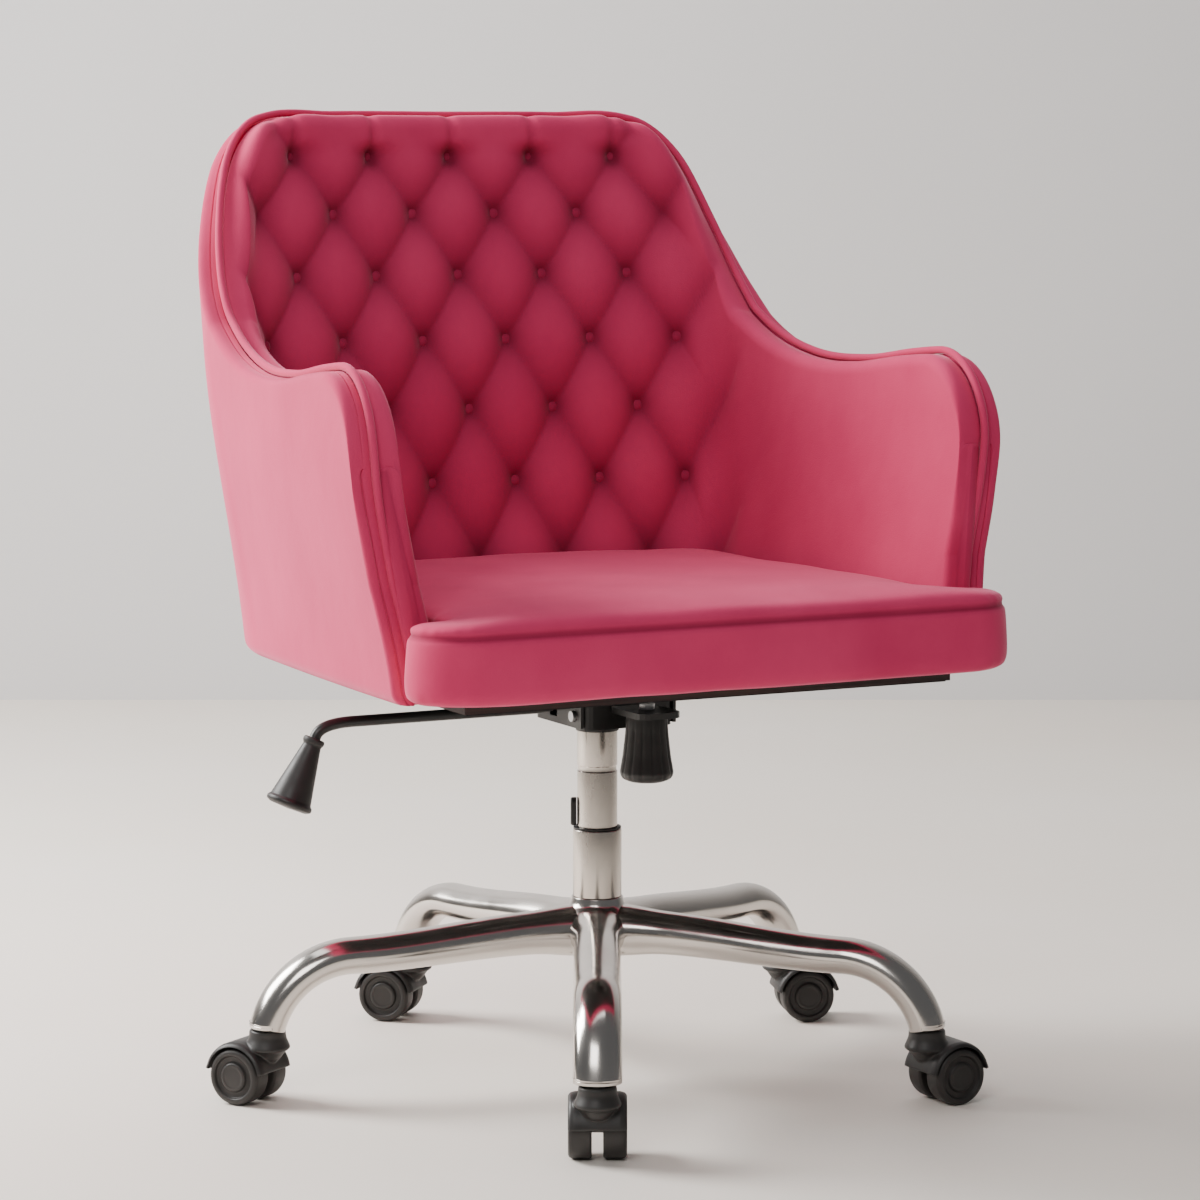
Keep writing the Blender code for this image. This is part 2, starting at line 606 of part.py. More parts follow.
def tilt_housing_mesh():
    """An open-topped steel box with a boss for the column and a bracket for the tension spring."""
    half = HOUSING_HALF_WIDTH
    wall = HOUSING_WALL
    box = block((-half, HOUSING_FRONT, HOUSING_BOTTOM), (half, HOUSING_REAR, HOUSING_TOP),
                HOUSING_CORNER, 3, True)
    pocket = block((-half + wall, HOUSING_FRONT + wall, HOUSING_BOTTOM + wall),
                   (half - wall, HOUSING_REAR - wall, HOUSING_TOP + 0.01),
                   HOUSING_CORNER - 0.003, 2, True)
    hollow = carved(box, cuts=[pocket])
    boss = rod(GAS_RADIUS + BOSS_WALL, HOUSING_BOTTOM + wall / 2, GAS_TOP - 0.0005, 24)
    nose_back = HOUSING_FRONT + wall / 2
    nose = block((-NOSE_HALF_WIDTH, HOUSING_FRONT - NOSE_REACH, HOUSING_TOP - NOSE_THICKNESS),
                 (NOSE_HALF_WIDTH, nose_back, HOUSING_TOP - 0.0004), NOSE_CORNER, 3, True)
    slope = (CONE_LOW_RADIUS - CONE_TOP_RADIUS) / (GAS_TOP - CONE_BOTTOM)
    over = 0.004
    low_radius = CONE_LOW_RADIUS + GAP + slope * over
    high_radius = CONE_TOP_RADIUS + GAP - slope * over
    low, high = CONE_BOTTOM - over, GAS_TOP + over
    taper = turned([(0, low), (low_radius, low), (high_radius, high), (0, high)], 24)
    shaft_hole = shifted(along_x(rod(PIVOT_RADIUS + GAP, -half - 0.01, half + 0.01)), (0, PIVOT_Y, PIVOT_Z))
    bolt_hole = shifted(rod(BOLT_RADIUS + GAP, HOUSING_TOP - 0.02, HOUSING_TOP + 0.02), (0, KNOB_Y, 0))
    notch = block((-half - 0.01, -NOTCH_HALF_WIDTH, LEVER_Z - 0.008),
                  (-half + 0.009, NOTCH_HALF_WIDTH, HOUSING_TOP + 0.01))
    return carved(hollow, joins=[boss, nose], cuts=[taper, shaft_hole, bolt_hole, notch])


def build_mechanism(lift, black_metal, steel):
    piece("tilt_housing", tilt_housing_mesh(), black_metal, lift)
    reach = HOUSING_HALF_WIDTH + EAR_THICKNESS + SHAFT_OVERHANG
    shaft = along_x(rod(PIVOT_RADIUS, -reach, reach))
    piece("tilt_pivot_shaft", shifted(shaft, (0, PIVOT_Y, PIVOT_Z)), steel, lift)
    head_bottom = HOUSING_TOP
    head_top = head_bottom + BOLT_HEAD_HEIGHT
    foot = KNOB_BOTTOM + KNOB_FLOOR - THREAD_DEPTH + 0.002
    bolt = [(0, foot), (BOLT_RADIUS, foot), (BOLT_RADIUS, head_bottom), (BOLT_HEAD_RADIUS, head_bottom),
            (BOLT_HEAD_RADIUS, head_top), (0, head_top)]
    piece("tension_bolt", shifted(turned(bolt, 16), (0, KNOB_Y, 0)), steel, lift)
    piece("tension_spring", tension_spring_mesh(), steel, lift)


def tension_spring_mesh(steps_per_turn=10):
    """A coil between the knob's inner floor and the bracket above it."""
    low = KNOB_BOTTOM + KNOB_FLOOR + SPRING_WIRE + 2 * GAP
    high = HOUSING_TOP - NOSE_THICKNESS - SPRING_WIRE - GAP
    count = SPRING_TURNS * steps_per_turn
    path = []
    for i in range(count + 1):
        angle = math.tau * i / steps_per_turn
        path.append(Vector((SPRING_RADIUS * math.cos(angle), KNOB_Y + SPRING_RADIUS * math.sin(angle),
                            low + (high - low) * i / count)))
    return swept(path, [SPRING_WIRE] * len(path), 5, Vector((0, 0, 1)))


def build_tension_knob(turn, plastic):
    """A bell-shaped cup, open above, threaded on the bolt through its floor."""
    top = HOUSING_TOP - NOSE_THICKNESS - GAP
    cup = KNOB_TOP_RADIUS - KNOB_WALL
    floor = KNOB_BOTTOM + KNOB_FLOOR
    thread_foot = floor - THREAD_DEPTH
    bore = BOLT_RADIUS + RUNNING_GAP
    height = top - KNOB_BOTTOM
    flare = KNOB_BOTTOM_RADIUS - KNOB_TOP_RADIUS
    outline = [(0, KNOB_BOTTOM), (KNOB_BOTTOM_RADIUS * 0.6, KNOB_BOTTOM + 0.0015),
               (KNOB_BOTTOM_RADIUS - 0.002, KNOB_BOTTOM + 0.005), (KNOB_BOTTOM_RADIUS, KNOB_BOTTOM + 0.009),
               (KNOB_TOP_RADIUS + flare * 0.55, KNOB_BOTTOM + height * 0.40),
               (KNOB_TOP_RADIUS + flare * 0.15, KNOB_BOTTOM + height * 0.75), (KNOB_TOP_RADIUS, top),
               (cup, top), (cup, floor), (bore, floor), (bore, thread_foot), (0, thread_foot)]
    piece("tension_knob", shifted(turned(outline, 24), (0, KNOB_Y, 0)), plastic, turn)


# ---- height lever ----

def grip_axis():
    lean = math.radians(GRIP_LEAN)
    return Vector((-math.sin(lean), 0, -math.cos(lean)))


def lever_path():
    """From the tip over the release pin, out of the housing, and round the bend into the grip."""
    down = grip_axis()
    top = Vector((GRIP_X, 0, GRIP_Z))
    corner_x = GRIP_X + (LEVER_Z - GRIP_Z) / down.z * down.x
    wall_x = -HOUSING_HALF_WIDTH
    inner = [Vector((LEVER_TIP_X, 0, LEVER_FULCRUM_Z + LEVER_TIP_RISE)),
             Vector((LEVER_FULCRUM_X + 0.010, 0, LEVER_FULCRUM_Z + LEVER_TIP_RISE - 0.001)),
             Vector((wall_x - 0.004, 0, LEVER_Z + 0.001)), Vector((wall_x - 0.014, 0, LEVER_Z)),
             Vector((-LEVER_REACH / 2, 0, LEVER_Z))]
    start, corner = Vector((-LEVER_REACH, 0, LEVER_Z)), Vector((corner_x, 0, LEVER_Z))
    end = top - down * 0.002
    bend = [start.lerp(corner, t).lerp(corner.lerp(end, t), t) for t in (0, 0.2, 0.4, 0.6, 0.8, 1)]
    return inner + bend + [top + down * GRIP_ENGAGEMENT]


def build_lever(lift_turn, metal, plastic):
    path = lever_path()
    radii = [LEVER_TIP_RADIUS] * 2 + [LEVER_TIP_RADIUS + 0.0006] + [LEVER_RADIUS] * (len(path) - 3)
    piece("lever_rod", swept(path, radii, 10, Vector((0, 1, 0))), metal, lift_turn)
    bore = LEVER_RADIUS + RUNNING_GAP
    bore_end = GRIP_ENGAGEMENT + 0.002
    outline = [(0, bore_end), (bore, bore_end), (bore, 0), (GRIP_TOP_RADIUS - 0.0015, 0),
               (GRIP_TOP_RADIUS, 0.0015), (GRIP_TOP_RADIUS, 0.004), (GRIP_TOP_RADIUS - 0.0012, 0.0065),
               (GRIP_BOTTOM_RADIUS - 0.001, GRIP_LENGTH - 0.006), (GRIP_BOTTOM_RADIUS, GRIP_LENGTH - 0.003),
               (GRIP_BOTTOM_RADIUS - 0.002, GRIP_LENGTH - 0.0006), (0, GRIP_LENGTH)]
    mesh = turned(outline, 20)
    turn = grip_axis().to_track_quat("Z", "Y").to_matrix()
    for vertex in mesh.vertices:
        vertex.co = turn @ vertex.co + Vector((GRIP_X, 0, GRIP_Z))
    piece("lever_grip", mesh, plastic, lift_turn)


def build_lever_bush(slide, plastic):
    """The rocker sleeve that the lever turns in, free to slide in the housing's notch."""
    inner = LEVER_TIP_RADIUS + 0.0012
    outer = inner + LEVER_BUSH_WALL
    half = LEVER_BUSH_HALF_LENGTH
    outline = [(inner, -half), (outer, -half), (outer, half), (inner, half)]
    tip, above, below = lever_path()[:3]
    slope = (above - below).normalized()
    centre = below + slope * ((LEVER_FULCRUM_X - below.x) / slope.x)
    mesh = turned(outline, 16, ring=True)
    turn = slope.to_track_quat("Z", "Y").to_matrix()
    for vertex in mesh.vertices:
        vertex.co = turn @ vertex.co + centre
    piece("lever_bush", mesh, plastic, slide)


# ---- upholstered shell ----

def blend(low, high, share):
    """Smooth step from one value to another."""
    share = min(max(share, 0.0), 1.0)
    return low + (high - low) * share * share * (3 - 2 * share)


def smooth_table(table, at):
    """A smooth curve through (position, value) pairs."""
    for i in range(len(table) - 1):
        (a, low), (b, high) = table[i], table[i + 1]
        if at <= b:
            before, after = table[max(i - 1, 0)], table[min(i + 2, len(table) - 1)]
            start = (high - before[1]) / (b - before[0]) * (b - a)
            stop = (after[1] - low) / (after[0] - a) * (b - a)
            t = (at - a) / (b - a)
            return ((2 * t ** 3 - 3 * t ** 2 + 1) * low + (t ** 3 - 2 * t ** 2 + t) * start
                    + (3 * t ** 2 - 2 * t ** 3) * high + (t ** 3 - t ** 2) * stop)
    return table[-1][1]


def rim_height(share):
    """Height of the shell's top edge along the half outline, from the back's middle to the arm's front."""
    arm = ARM_TOP
    rise = BACK_TOP - arm
    table = [(0.0, BACK_TOP), (0.22, BACK_TOP), (0.37, arm + rise * 0.985), (0.44, arm + rise * 0.83),
             (0.50, arm + rise * 0.54), (0.56, arm + rise * 0.26), (0.63, arm + rise * 0.05),
             (0.71, arm - 0.011), (0.80, arm - 0.013), (0.88, arm - 0.004), (FRONT_SHARE, arm), (1.0, arm)]
    height = smooth_table(table, share)
    if share > FRONT_SHARE:
        turn = (share - FRONT_SHARE) / (1 - FRONT_SHARE)
        return ARM_FRONT_SHOULDER + (arm - ARM_FRONT_SHOULDER) * math.sqrt(max(1 - turn * turn, 0.0))
    return height


def outline_point(share, z):
    """The shell's outer face in plan at height z: share 0 is the back's middle, 1 the arm's front."""
    rise = (z - SHELL_BOTTOM) / (BACK_TOP - SHELL_BOTTOM)
    back = BACK_Y + BACK_LEAN * max(rise, 0.0) ** 0.87
    rear_half = REAR_HALF_WIDTH + blend(0, REAR_FLARE, rise / 0.55)
    front_half = SEAT_HALF_WIDTH + blend(0, ARM_FLARE, rise / 0.45)
    front = ARM_FRONT_Y - ARM_FRONT_SLANT * (1 - min(max(rise / 0.2, 0.0), 1.0))
    flat = Vector((BACK_FLAT_X, back - BACK_BOW))
    side = Vector((rear_half, back - CORNER_DEPTH))
    if share <= BACK_SHARE:
        t = share / BACK_SHARE
        return Vector((BACK_FLAT_X * t, back - BACK_BOW * t * t))
    if share <= CORNER_SHARE:
        t = (share - BACK_SHARE) / (CORNER_SHARE - BACK_SHARE)
        slope = Vector((1.0, -2 * BACK_BOW / BACK_FLAT_X)).normalized()
        one, two = flat + slope * CORNER_EASE, side + Vector((-0.002, CORNER_EASE))
        return (flat * (1 - t) ** 3 + one * 3 * t * (1 - t) ** 2 + two * 3 * t * t * (1 - t) + side * t ** 3)
    t = (share - CORNER_SHARE) / (1 - CORNER_SHARE)
    end = Vector((front_half, front))
    middle = (side + end) / 2 + Vector((ARM_BOW, 0))
    return side * (1 - t) ** 2 + middle * 2 * t * (1 - t) + end * t * t


def shell_point(along, z, depth):
    """A point at a depth inside the shell's outer face; along runs from -1 to 1 around the U."""
    share = abs(along)
    hand = 1 if along >= 0 else -1
    step = 0.002
    here = outline_point(share, z)
    ahead = outline_point(min(share + step, 1.0), z) - outline_point(max(share - step, 0.0), z)
    if share < step:
        ahead = Vector((1.0, 0.0))
    inward = Vector((ahead.y, -ahead.x)).normalized()
    flat = here + inward * depth
    return Vector((flat.x * hand, flat.y, z))


def half_stations(back=5, corner=7, side=5, front=4):
    """Places along the half outline, closer together where it turns."""
    places = [BACK_SHARE * i / back for i in range(back)]
    places += [BACK_SHARE + (CORNER_SHARE - BACK_SHARE) * i / corner for i in range(corner)]
    places += [CORNER_SHARE + (FRONT_SHARE - CORNER_SHARE) * i / side for i in range(side)]
    places += [FRONT_SHARE + (1 - FRONT_SHARE) * math.sin(math.pi / 2 * i / front) for i in range(front + 1)]
    return places


def stations():
    half = half_stations()
    return [-s for s in reversed(half[1:])] + half


def wall_ring(along, bottom, near, far, rows=5, flange=0.0):
    """One upright section of a shell wall between two depths, with a rounded top."""
    top = rim_height(abs(along)) - EDGE_DROP
    soft = min(WALL_EASE, (far - near) / 3)
    heights = [bottom + (top - soft - bottom) * i / rows for i in range(rows + 1)]
    ring = [shell_point(along, z, near) for z in heights]
    ring.append(shell_point(along, top, near + soft))
    ring.append(shell_point(along, top, far - soft))
    foot = bottom + flange
    inner = [foot + (top - soft - foot) * i / rows for i in range(rows + 1)]
    ring += [shell_point(along, z, far) for z in reversed(inner)]
    if flange:
        ring.insert(0, shell_point(along, bottom, FLANGE_DEPTH))
        ring.append(shell_point(along, foot, FLANGE_DEPTH))
    return ring


def piping_path():
    """The line of the welt: up one arm's front, round the rim and down the other front."""
    depth = SHELL_WALL + PAD_GAP / 2
    out = PIPING_RADIUS + GAP
    rim = [(s, rim_height(abs(s)) - EDGE_DROP) for s in stations()]
    foot = SHELL_BOTTOM + PIPING_FOOT
    fronts = [foot + (ARM_FRONT_SHOULDER - EDGE_DROP - foot) * i / 5 for i in range(5)]
    line = [(-1.0, z) for z in fronts] + rim + [(1.0, z) for z in reversed(fronts)]
    points = [shell_point(s, z, depth) for s, z in line]
    path = []
    for i, (s, z) in enumerate(line):
        ahead = points[min(i + 1, len(points) - 1)] - points[max(i - 1, 0)]
        inward = shell_point(s, z, depth + 0.01) - points[i]
        outward = inward.cross(ahead).normalized()
        path.append(points[i] + outward * out)
    return path


def seat_outline(inset, z, front_y):
    """The plan of a flat piece inside the shell, closed straight across the front."""
    half = [shell_point(s, z, inset) for s in half_stations(4, 5, 3, 1)]
    half = [p for p in half if p.y > front_y + 0.001]
    right = [(p.x, p.y) for p in half] + [(half[-1].x, front_y)]
    left = [(-x, y) for x, y in reversed(right[1:])]
    return right + left


def build_shell(seat, cloth):
    frame = lofted([wall_ring(s, SHELL_BOTTOM, 0.0, SHELL_WALL, flange=FLANGE_THICKNESS) for s in stations()],
                   ends="paired")
    piece("shell_frame", frame, cloth, seat, 60)
    pad = lofted([wall_ring(s, PAD_BOTTOM, PAD_OUTSET, PAD_FACE) for s in stations()], ends="paired")
    piece("back_pad", pad, cloth, seat, 60)
    path = piping_path()
    piping = swept(path, [PIPING_RADIUS] * len(path), 6, Vector((0, 1, 0)))
    piece("shell_piping", piping, cloth, seat, 60)


# ---- seat ----

def cushion_outline():
    """A T in plan: wide ears in front of the arms, a body that fits between them."""
    z = PAD_BOTTOM
    inset = PAD_FACE + CUSHION_SIDE_GAP
    ear_back = ARM_FRONT_FOOT_Y - EDGE_DROP - CUSHION_EAR_GAP
    body = [shell_point(s, z, inset) for s in half_stations(4, 6, 3, 1)]
    right = [(p.x, p.y) for p in body if p.y > ear_back + 0.004]
    right.append((right[-1][0], ear_back))
    right += corner_points(CUSHION_EAR_HALF_WIDTH, ear_back, CUSHION_EAR_CORNER, math.pi / 2, 3)
    right += corner_points(CUSHION_EAR_HALF_WIDTH, CUSHION_FRONT_Y, CUSHION_CORNER, 0.0, 6)
    left = [(-x, y) for x, y in reversed(right[1:])]
    return right + left


def corner_points(half_width, y, radius, start, steps):
    """An outside corner's arc, running clockwise from the start angle."""
    centre_x = half_width - radius
    centre_y = y - radius if start > 0 else y + radius
    angles = [start - math.pi / 2 * i / steps for i in range(steps + 1)]
    return [(centre_x + radius * math.cos(a), centre_y + radius * math.sin(a)) for a in angles]


def cushion_mesh():
    shape = bmesh.new()
    shape.from_mesh(extruded(cushion_outline(), PAD_BOTTOM, PAD_BOTTOM + CUSHION_HEIGHT))
    rim = [e for e in shape.edges if not is_upright(e)]
    bmesh.ops.bevel(shape, geom=rim, offset=CUSHION_EDGE, segments=2, affect="EDGES", profile=0.5)
    return closed_mesh(shape)


def screw_places():
    return [(x * SCREW_X, y * SCREW_Y) for x, y in ((-1, -1), (1, -1), (1, 1), (-1, 1))]


def screw_holes(extra, low, high):
    return [shifted(rod(SCREW_RADIUS + extra, low, high, 12), (x, y, 0)) for x, y in screw_places()]


def seat_plate_mesh():
    """A flat plate with two ears that hang outside the housing and hold the pivot shaft."""
    plate = block((-PLATE_HALF_WIDTH, -PLATE_HALF_DEPTH, PLATE_BOTTOM),
                  (PLATE_HALF_WIDTH, PLATE_HALF_DEPTH, PLATE_TOP), PLATE_CORNER, 3, True)
    near = HOUSING_HALF_WIDTH + 2 * GAP
    ears = []
    for hand in (-1, 1):
        sides = sorted((hand * near, hand * (near + EAR_THICKNESS)))
        ears.append(block((sides[0], PIVOT_Y - EAR_HALF_DEPTH, PIVOT_Z - EAR_DROP),
                          (sides[1], PIVOT_Y + EAR_HALF_DEPTH, PLATE_TOP - PLATE_THICKNESS / 2)))
    reach = HOUSING_HALF_WIDTH + EAR_THICKNESS + 0.01
    hole = shifted(along_x(rod(PIVOT_RADIUS + RUNNING_GAP, -reach, reach)), (0, PIVOT_Y, PIVOT_Z))
    holes = screw_holes(GAP, PLATE_BOTTOM - 0.01, PLATE_TOP + 0.01)
    return carved(plate, joins=ears, cuts=[hole, *holes])


def build_seat(seat, black_metal, steel, wood, cloth, lining):
    piece("seat_plate", seat_plate_mesh(), black_metal, seat)
    head_top = PLATE_BOTTOM - GAP
    screw = [(0, head_top - SCREW_HEAD_HEIGHT), (SCREW_HEAD_RADIUS * 0.7, head_top - SCREW_HEAD_HEIGHT),
             (SCREW_HEAD_RADIUS, head_top - 0.001), (SCREW_HEAD_RADIUS, head_top),
             (SCREW_RADIUS, head_top), (SCREW_RADIUS, SCREW_TIP), (0, SCREW_TIP)]
    for number, (x, y) in enumerate(screw_places(), 1):
        piece(f"seat_screw_{number}", shifted(turned(screw, 12), (x, y, 0)), steel, seat)
    front = ARM_FRONT_FOOT_Y - BOARD_REACH
    cover = extruded(seat_outline(BOARD_INSET + COVER_INSET, SHELL_BOTTOM, front + COVER_INSET),
                     COVER_BOTTOM, COVER_BOTTOM + COVER_THICKNESS)
    cover = carved(cover, cuts=screw_holes(GAP, COVER_BOTTOM - 0.01, COVER_BOTTOM + 0.01))
    piece("seat_base_cover", cover, lining, seat)
    board = extruded(seat_outline(BOARD_INSET, SHELL_BOTTOM, front), BOARD_BOTTOM, BOARD_TOP)
    board = carved(board, cuts=screw_holes(GAP, BOARD_BOTTOM - 0.01, SCREW_TIP + GAP))
    piece("seat_board", board, wood, seat)
    piece("seat_cushion", cushion_mesh(), cloth, seat, 60)


# ---- casters: drawn about the swivel axis, trailing towards +X ----

def wheel_mesh(hand):
    """One wheel of the pair, from its inner face out to its domed hub cap."""
    near = WHEEL_SPACING / 2
    far = near + WHEEL_WIDTH
    radius = WHEEL_RADIUS / math.cos(math.pi / WHEEL_STEPS)
    bore = AXLE_RADIUS + GAP
    cap = WHEEL_RADIUS * 0.45
    outline = [(0, far), (cap, far - 0.0004), (cap + 0.0015, far - 0.0035), (radius - 0.0050, far - 0.0035),
               (radius - 0.0035, far - 0.0008), (radius - 0.0013, far - 0.0012), (radius, far - 0.0035),
               (radius, near + 0.0015), (radius - 0.0015, near), (bore, near),
               (bore, far - WHEEL_CAP_DEPTH), (0, far - WHEEL_CAP_DEPTH)]
    mesh = turned(outline, WHEEL_STEPS, start=math.pi / 2 - math.pi / WHEEL_STEPS)
    mesh = along_y(mesh)
    if hand < 0:
        flip_y(mesh)
    return mesh


def flip_y(mesh):
    """Mirrors a mesh across the XZ plane, with its faces still pointing out."""
    for vertex in mesh.vertices:
        vertex.co.y = -vertex.co.y
    mesh.flip_normals()


def hood_mesh():
    """The arched cover over both wheels, with a web between them and a neck for the stem."""
    inner = WHEEL_RADIUS / math.cos(math.pi / WHEEL_STEPS) + HOOD_CLEARANCE
    outer = inner + HOOD_WALL
    half = WHEEL_SPACING / 2 + WHEEL_WIDTH - HOOD_INSET
    low, high = (math.radians(end) for end in HOOD_ENDS)
    arc = [low + (high - low) * i / 10 for i in range(11)]
    outline = [(outer * math.cos(a), outer * math.sin(a)) for a in arc]
    outline += [(-0.009, -0.004), (-0.004, -0.009), (0.004, -0.009), (0.009, -0.004)]
    solid = extruded([(x, -z) for x, z in outline], -half, half)
    solid = shifted(along_y(solid), (CASTER_TRAIL, 0, AXLE_HEIGHT))
    neck = turned([(0, NECK_BOTTOM), (0.0125, NECK_BOTTOM), (NECK_RADIUS, NECK_BOTTOM + 0.012),
                   (NECK_RADIUS, CASTER_HEIGHT - 0.003), (NECK_RADIUS - 0.002, CASTER_HEIGHT),
                   (0, CASTER_HEIGHT)], 14)
    rooms = []
    for hand in (-1, 1):
        ends = sorted((hand * HOOD_WEB / 2, hand * 0.05))
        rooms.append(shifted(along_y(rod(inner, *ends, 22)), (CASTER_TRAIL, 0, AXLE_HEIGHT)))
    axle_hole = shifted(along_y(rod(AXLE_RADIUS + GAP, -0.05, 0.05, 12)), (CASTER_TRAIL, 0, AXLE_HEIGHT))
    stem_hole = rod(STEM_RADIUS + GAP, STEM_BOTTOM - GAP, CASTER_HEIGHT + 0.01, 12)
    return carved(solid, joins=[neck], cuts=[*rooms, axle_hole, stem_hole])


def build_caster(number, base, heading, materials, meshes):
    """One caster under an arm's end, trailing in the heading's direction."""
    angle = math.radians(arm_angle(number))
    place = (BASE_RADIUS * math.cos(angle), BASE_RADIUS * math.sin(angle), 0)
    swivel = local_pivot(f"caster_{number}_swivel", place, base, heading)
    plastic, tyre, steel = materials
    piece(f"caster_hood_{number}", meshes["hood"].copy(), plastic, swivel)
    piece(f"caster_stem_{number}", meshes["stem"].copy(), steel, swivel)
    piece(f"caster_axle_{number}", meshes["axle"].copy(), steel, swivel)
    axle = pivot(f"caster_{number}_axle", (CASTER_TRAIL, 0, AXLE_HEIGHT), swivel)
    for side in ("left", "right"):
        item = piece(f"caster_wheel_{number}_{side}", meshes[side].copy(), tyre, axle)
        item.location = (0, 0, 0)


def build_casters(base, materials):
    far = WHEEL_SPACING / 2 + WHEEL_WIDTH - WHEEL_CAP_DEPTH - 0.0005
    axle = shifted(along_y(rod(AXLE_RADIUS, -far, far, 12)), (CASTER_TRAIL, 0, AXLE_HEIGHT))
    meshes = {"hood": hood_mesh(), "stem": rod(STEM_RADIUS, STEM_BOTTOM, STEM_TOP, 12), "axle": axle,
              "left": wheel_mesh(1), "right": wheel_mesh(-1)}
    for number, heading in enumerate(CASTER_HEADINGS, 1):
        build_caster(number, base, heading, materials, meshes)


def build_chair():
    clear_scene()
    chrome = finish("chrome", (0.62, 0.60, 0.58), 0.12, 1.0)
    column_steel = finish("column_steel", (0.50, 0.46, 0.42), 0.28, 1.0)
    steel = finish("steel", (0.45, 0.45, 0.46), 0.35, 1.0)
    black_metal = finish("black_metal", (0.015, 0.014, 0.014), 0.45)
    black_plastic = finish("black_plastic", (0.018, 0.016, 0.015), 0.50)
    wheel_plastic = finish("wheel_plastic", (0.022, 0.019, 0.018), 0.55)
    velvet = finish("velvet", (0.52, 0.075, 0.135), 0.85)
    plywood = finish("plywood", (0.52, 0.36, 0.21), 0.70)
    lining = finish("lining", (0.012, 0.012, 0.013), 0.95)

    frame = pivot("chair_frame", (0, 0, 0))
    frame.location = (COLUMN_X, COLUMN_Y, 0)
    build_base(frame, chrome)
    build_column(frame, column_steel, black_plastic)
    build_casters(frame, (black_plastic, wheel_plastic, steel))
    swivel = pivot("seat_swivel", (0, 0, TUBE_FOOT), frame)
    build_spindle(swivel, column_steel, steel)
    lift = pivot("height_lift", (0, 0, GAS_FOOT), swivel)
    build_gas_cylinder(lift, column_steel, black_plastic)
    build_mechanism(lift, black_metal, steel)
    build_release_pin(pivot("release_press", (0, 0, GAS_TOP), lift), steel)
    build_tension_knob(pivot("tension_knob_turn", (0, KNOB_Y, KNOB_BOTTOM), lift), black_plastic)
    lever_slide = pivot("tilt_lock_pull", (LEVER_FULCRUM_X, 0, LEVER_FULCRUM_Z), lift)
    build_lever_bush(lever_slide, black_plastic)
    lever_turn = pivot("lever_lift", (LEVER_FULCRUM_X, 0, LEVER_FULCRUM_Z), lever_slide)
    build_lever(lever_turn, black_metal, black_plastic)
    seat = pivot("seat_tilt", (0, PIVOT_Y, PIVOT_Z), lift)
    build_seat(seat, black_metal, steel, plywood, velvet, lining)
    build_shell(seat, velvet)


build_chair()
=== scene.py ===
"""A tufted velvet tub chair on a gas column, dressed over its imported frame.

Lengths are metres, +Z up, and the chair faces -Y.  Pieces come in the order they are put together.
"""
import json
import math

import bmesh
import bpy
import numpy
from mathutils import Matrix, Vector, noise


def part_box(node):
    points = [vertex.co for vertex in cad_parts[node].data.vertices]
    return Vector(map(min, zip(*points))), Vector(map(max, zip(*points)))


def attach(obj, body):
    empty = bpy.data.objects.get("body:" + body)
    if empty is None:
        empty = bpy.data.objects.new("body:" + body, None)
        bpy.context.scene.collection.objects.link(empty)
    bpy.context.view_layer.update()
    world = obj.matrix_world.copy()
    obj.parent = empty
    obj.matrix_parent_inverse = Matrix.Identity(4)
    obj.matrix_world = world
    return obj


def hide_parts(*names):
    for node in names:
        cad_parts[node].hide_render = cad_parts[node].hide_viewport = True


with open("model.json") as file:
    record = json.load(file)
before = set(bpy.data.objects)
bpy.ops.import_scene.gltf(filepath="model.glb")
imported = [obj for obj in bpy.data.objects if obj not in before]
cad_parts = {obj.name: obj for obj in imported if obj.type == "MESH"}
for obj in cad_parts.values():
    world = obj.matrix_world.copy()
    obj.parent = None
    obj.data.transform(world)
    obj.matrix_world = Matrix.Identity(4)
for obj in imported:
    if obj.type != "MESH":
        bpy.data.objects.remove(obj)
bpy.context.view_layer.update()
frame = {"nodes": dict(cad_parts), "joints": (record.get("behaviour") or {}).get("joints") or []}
joints = {joint["name"]: joint for joint in frame["joints"]}
nodes = frame["nodes"]
column = Vector(joints["seat_swivel"]["pos_m"]) * Vector((1, 1, 0))

# ---- Star base -------------------------------------------------------------------------------------
# Five oval steel tubes, pressed down at their outer ends, are welded to a turned hub, ground smooth
# and chrome plated as one.  A thin ring closes each tube round the caster's stem.


def finish(name, colour, roughness, metallic=0.0, **sockets):
    """A Principled material, with the values that are the same all over set on its own sockets."""
    material = bpy.data.materials.new(name)
    material.use_nodes = True
    shader = material.node_tree.nodes["Principled BSDF"]
    shader.inputs["Base Color"].default_value = (*colour, 1.0)
    shader.inputs["Roughness"].default_value = roughness
    shader.inputs["Metallic"].default_value = metallic
    for socket, value in sockets.items():
        shader.inputs[socket.replace("_", " ")].default_value = value
    return material


def mottle(material, scale, stretch=(1, 1, 1), detail=3.0):
    """A noise over the object's own coordinates, finer along an axis with a larger stretch."""
    tree = material.node_tree
    place = tree.nodes.new("ShaderNodeTexCoord")
    turn = tree.nodes.new("ShaderNodeMapping")
    turn.inputs["Scale"].default_value = stretch
    grain = tree.nodes.new("ShaderNodeTexNoise")
    grain.inputs["Scale"].default_value = scale
    grain.inputs["Detail"].default_value = detail
    tree.links.new(place.outputs["Object"], turn.inputs["Vector"])
    tree.links.new(turn.outputs["Vector"], grain.inputs["Vector"])
    return grain.outputs["Fac"]


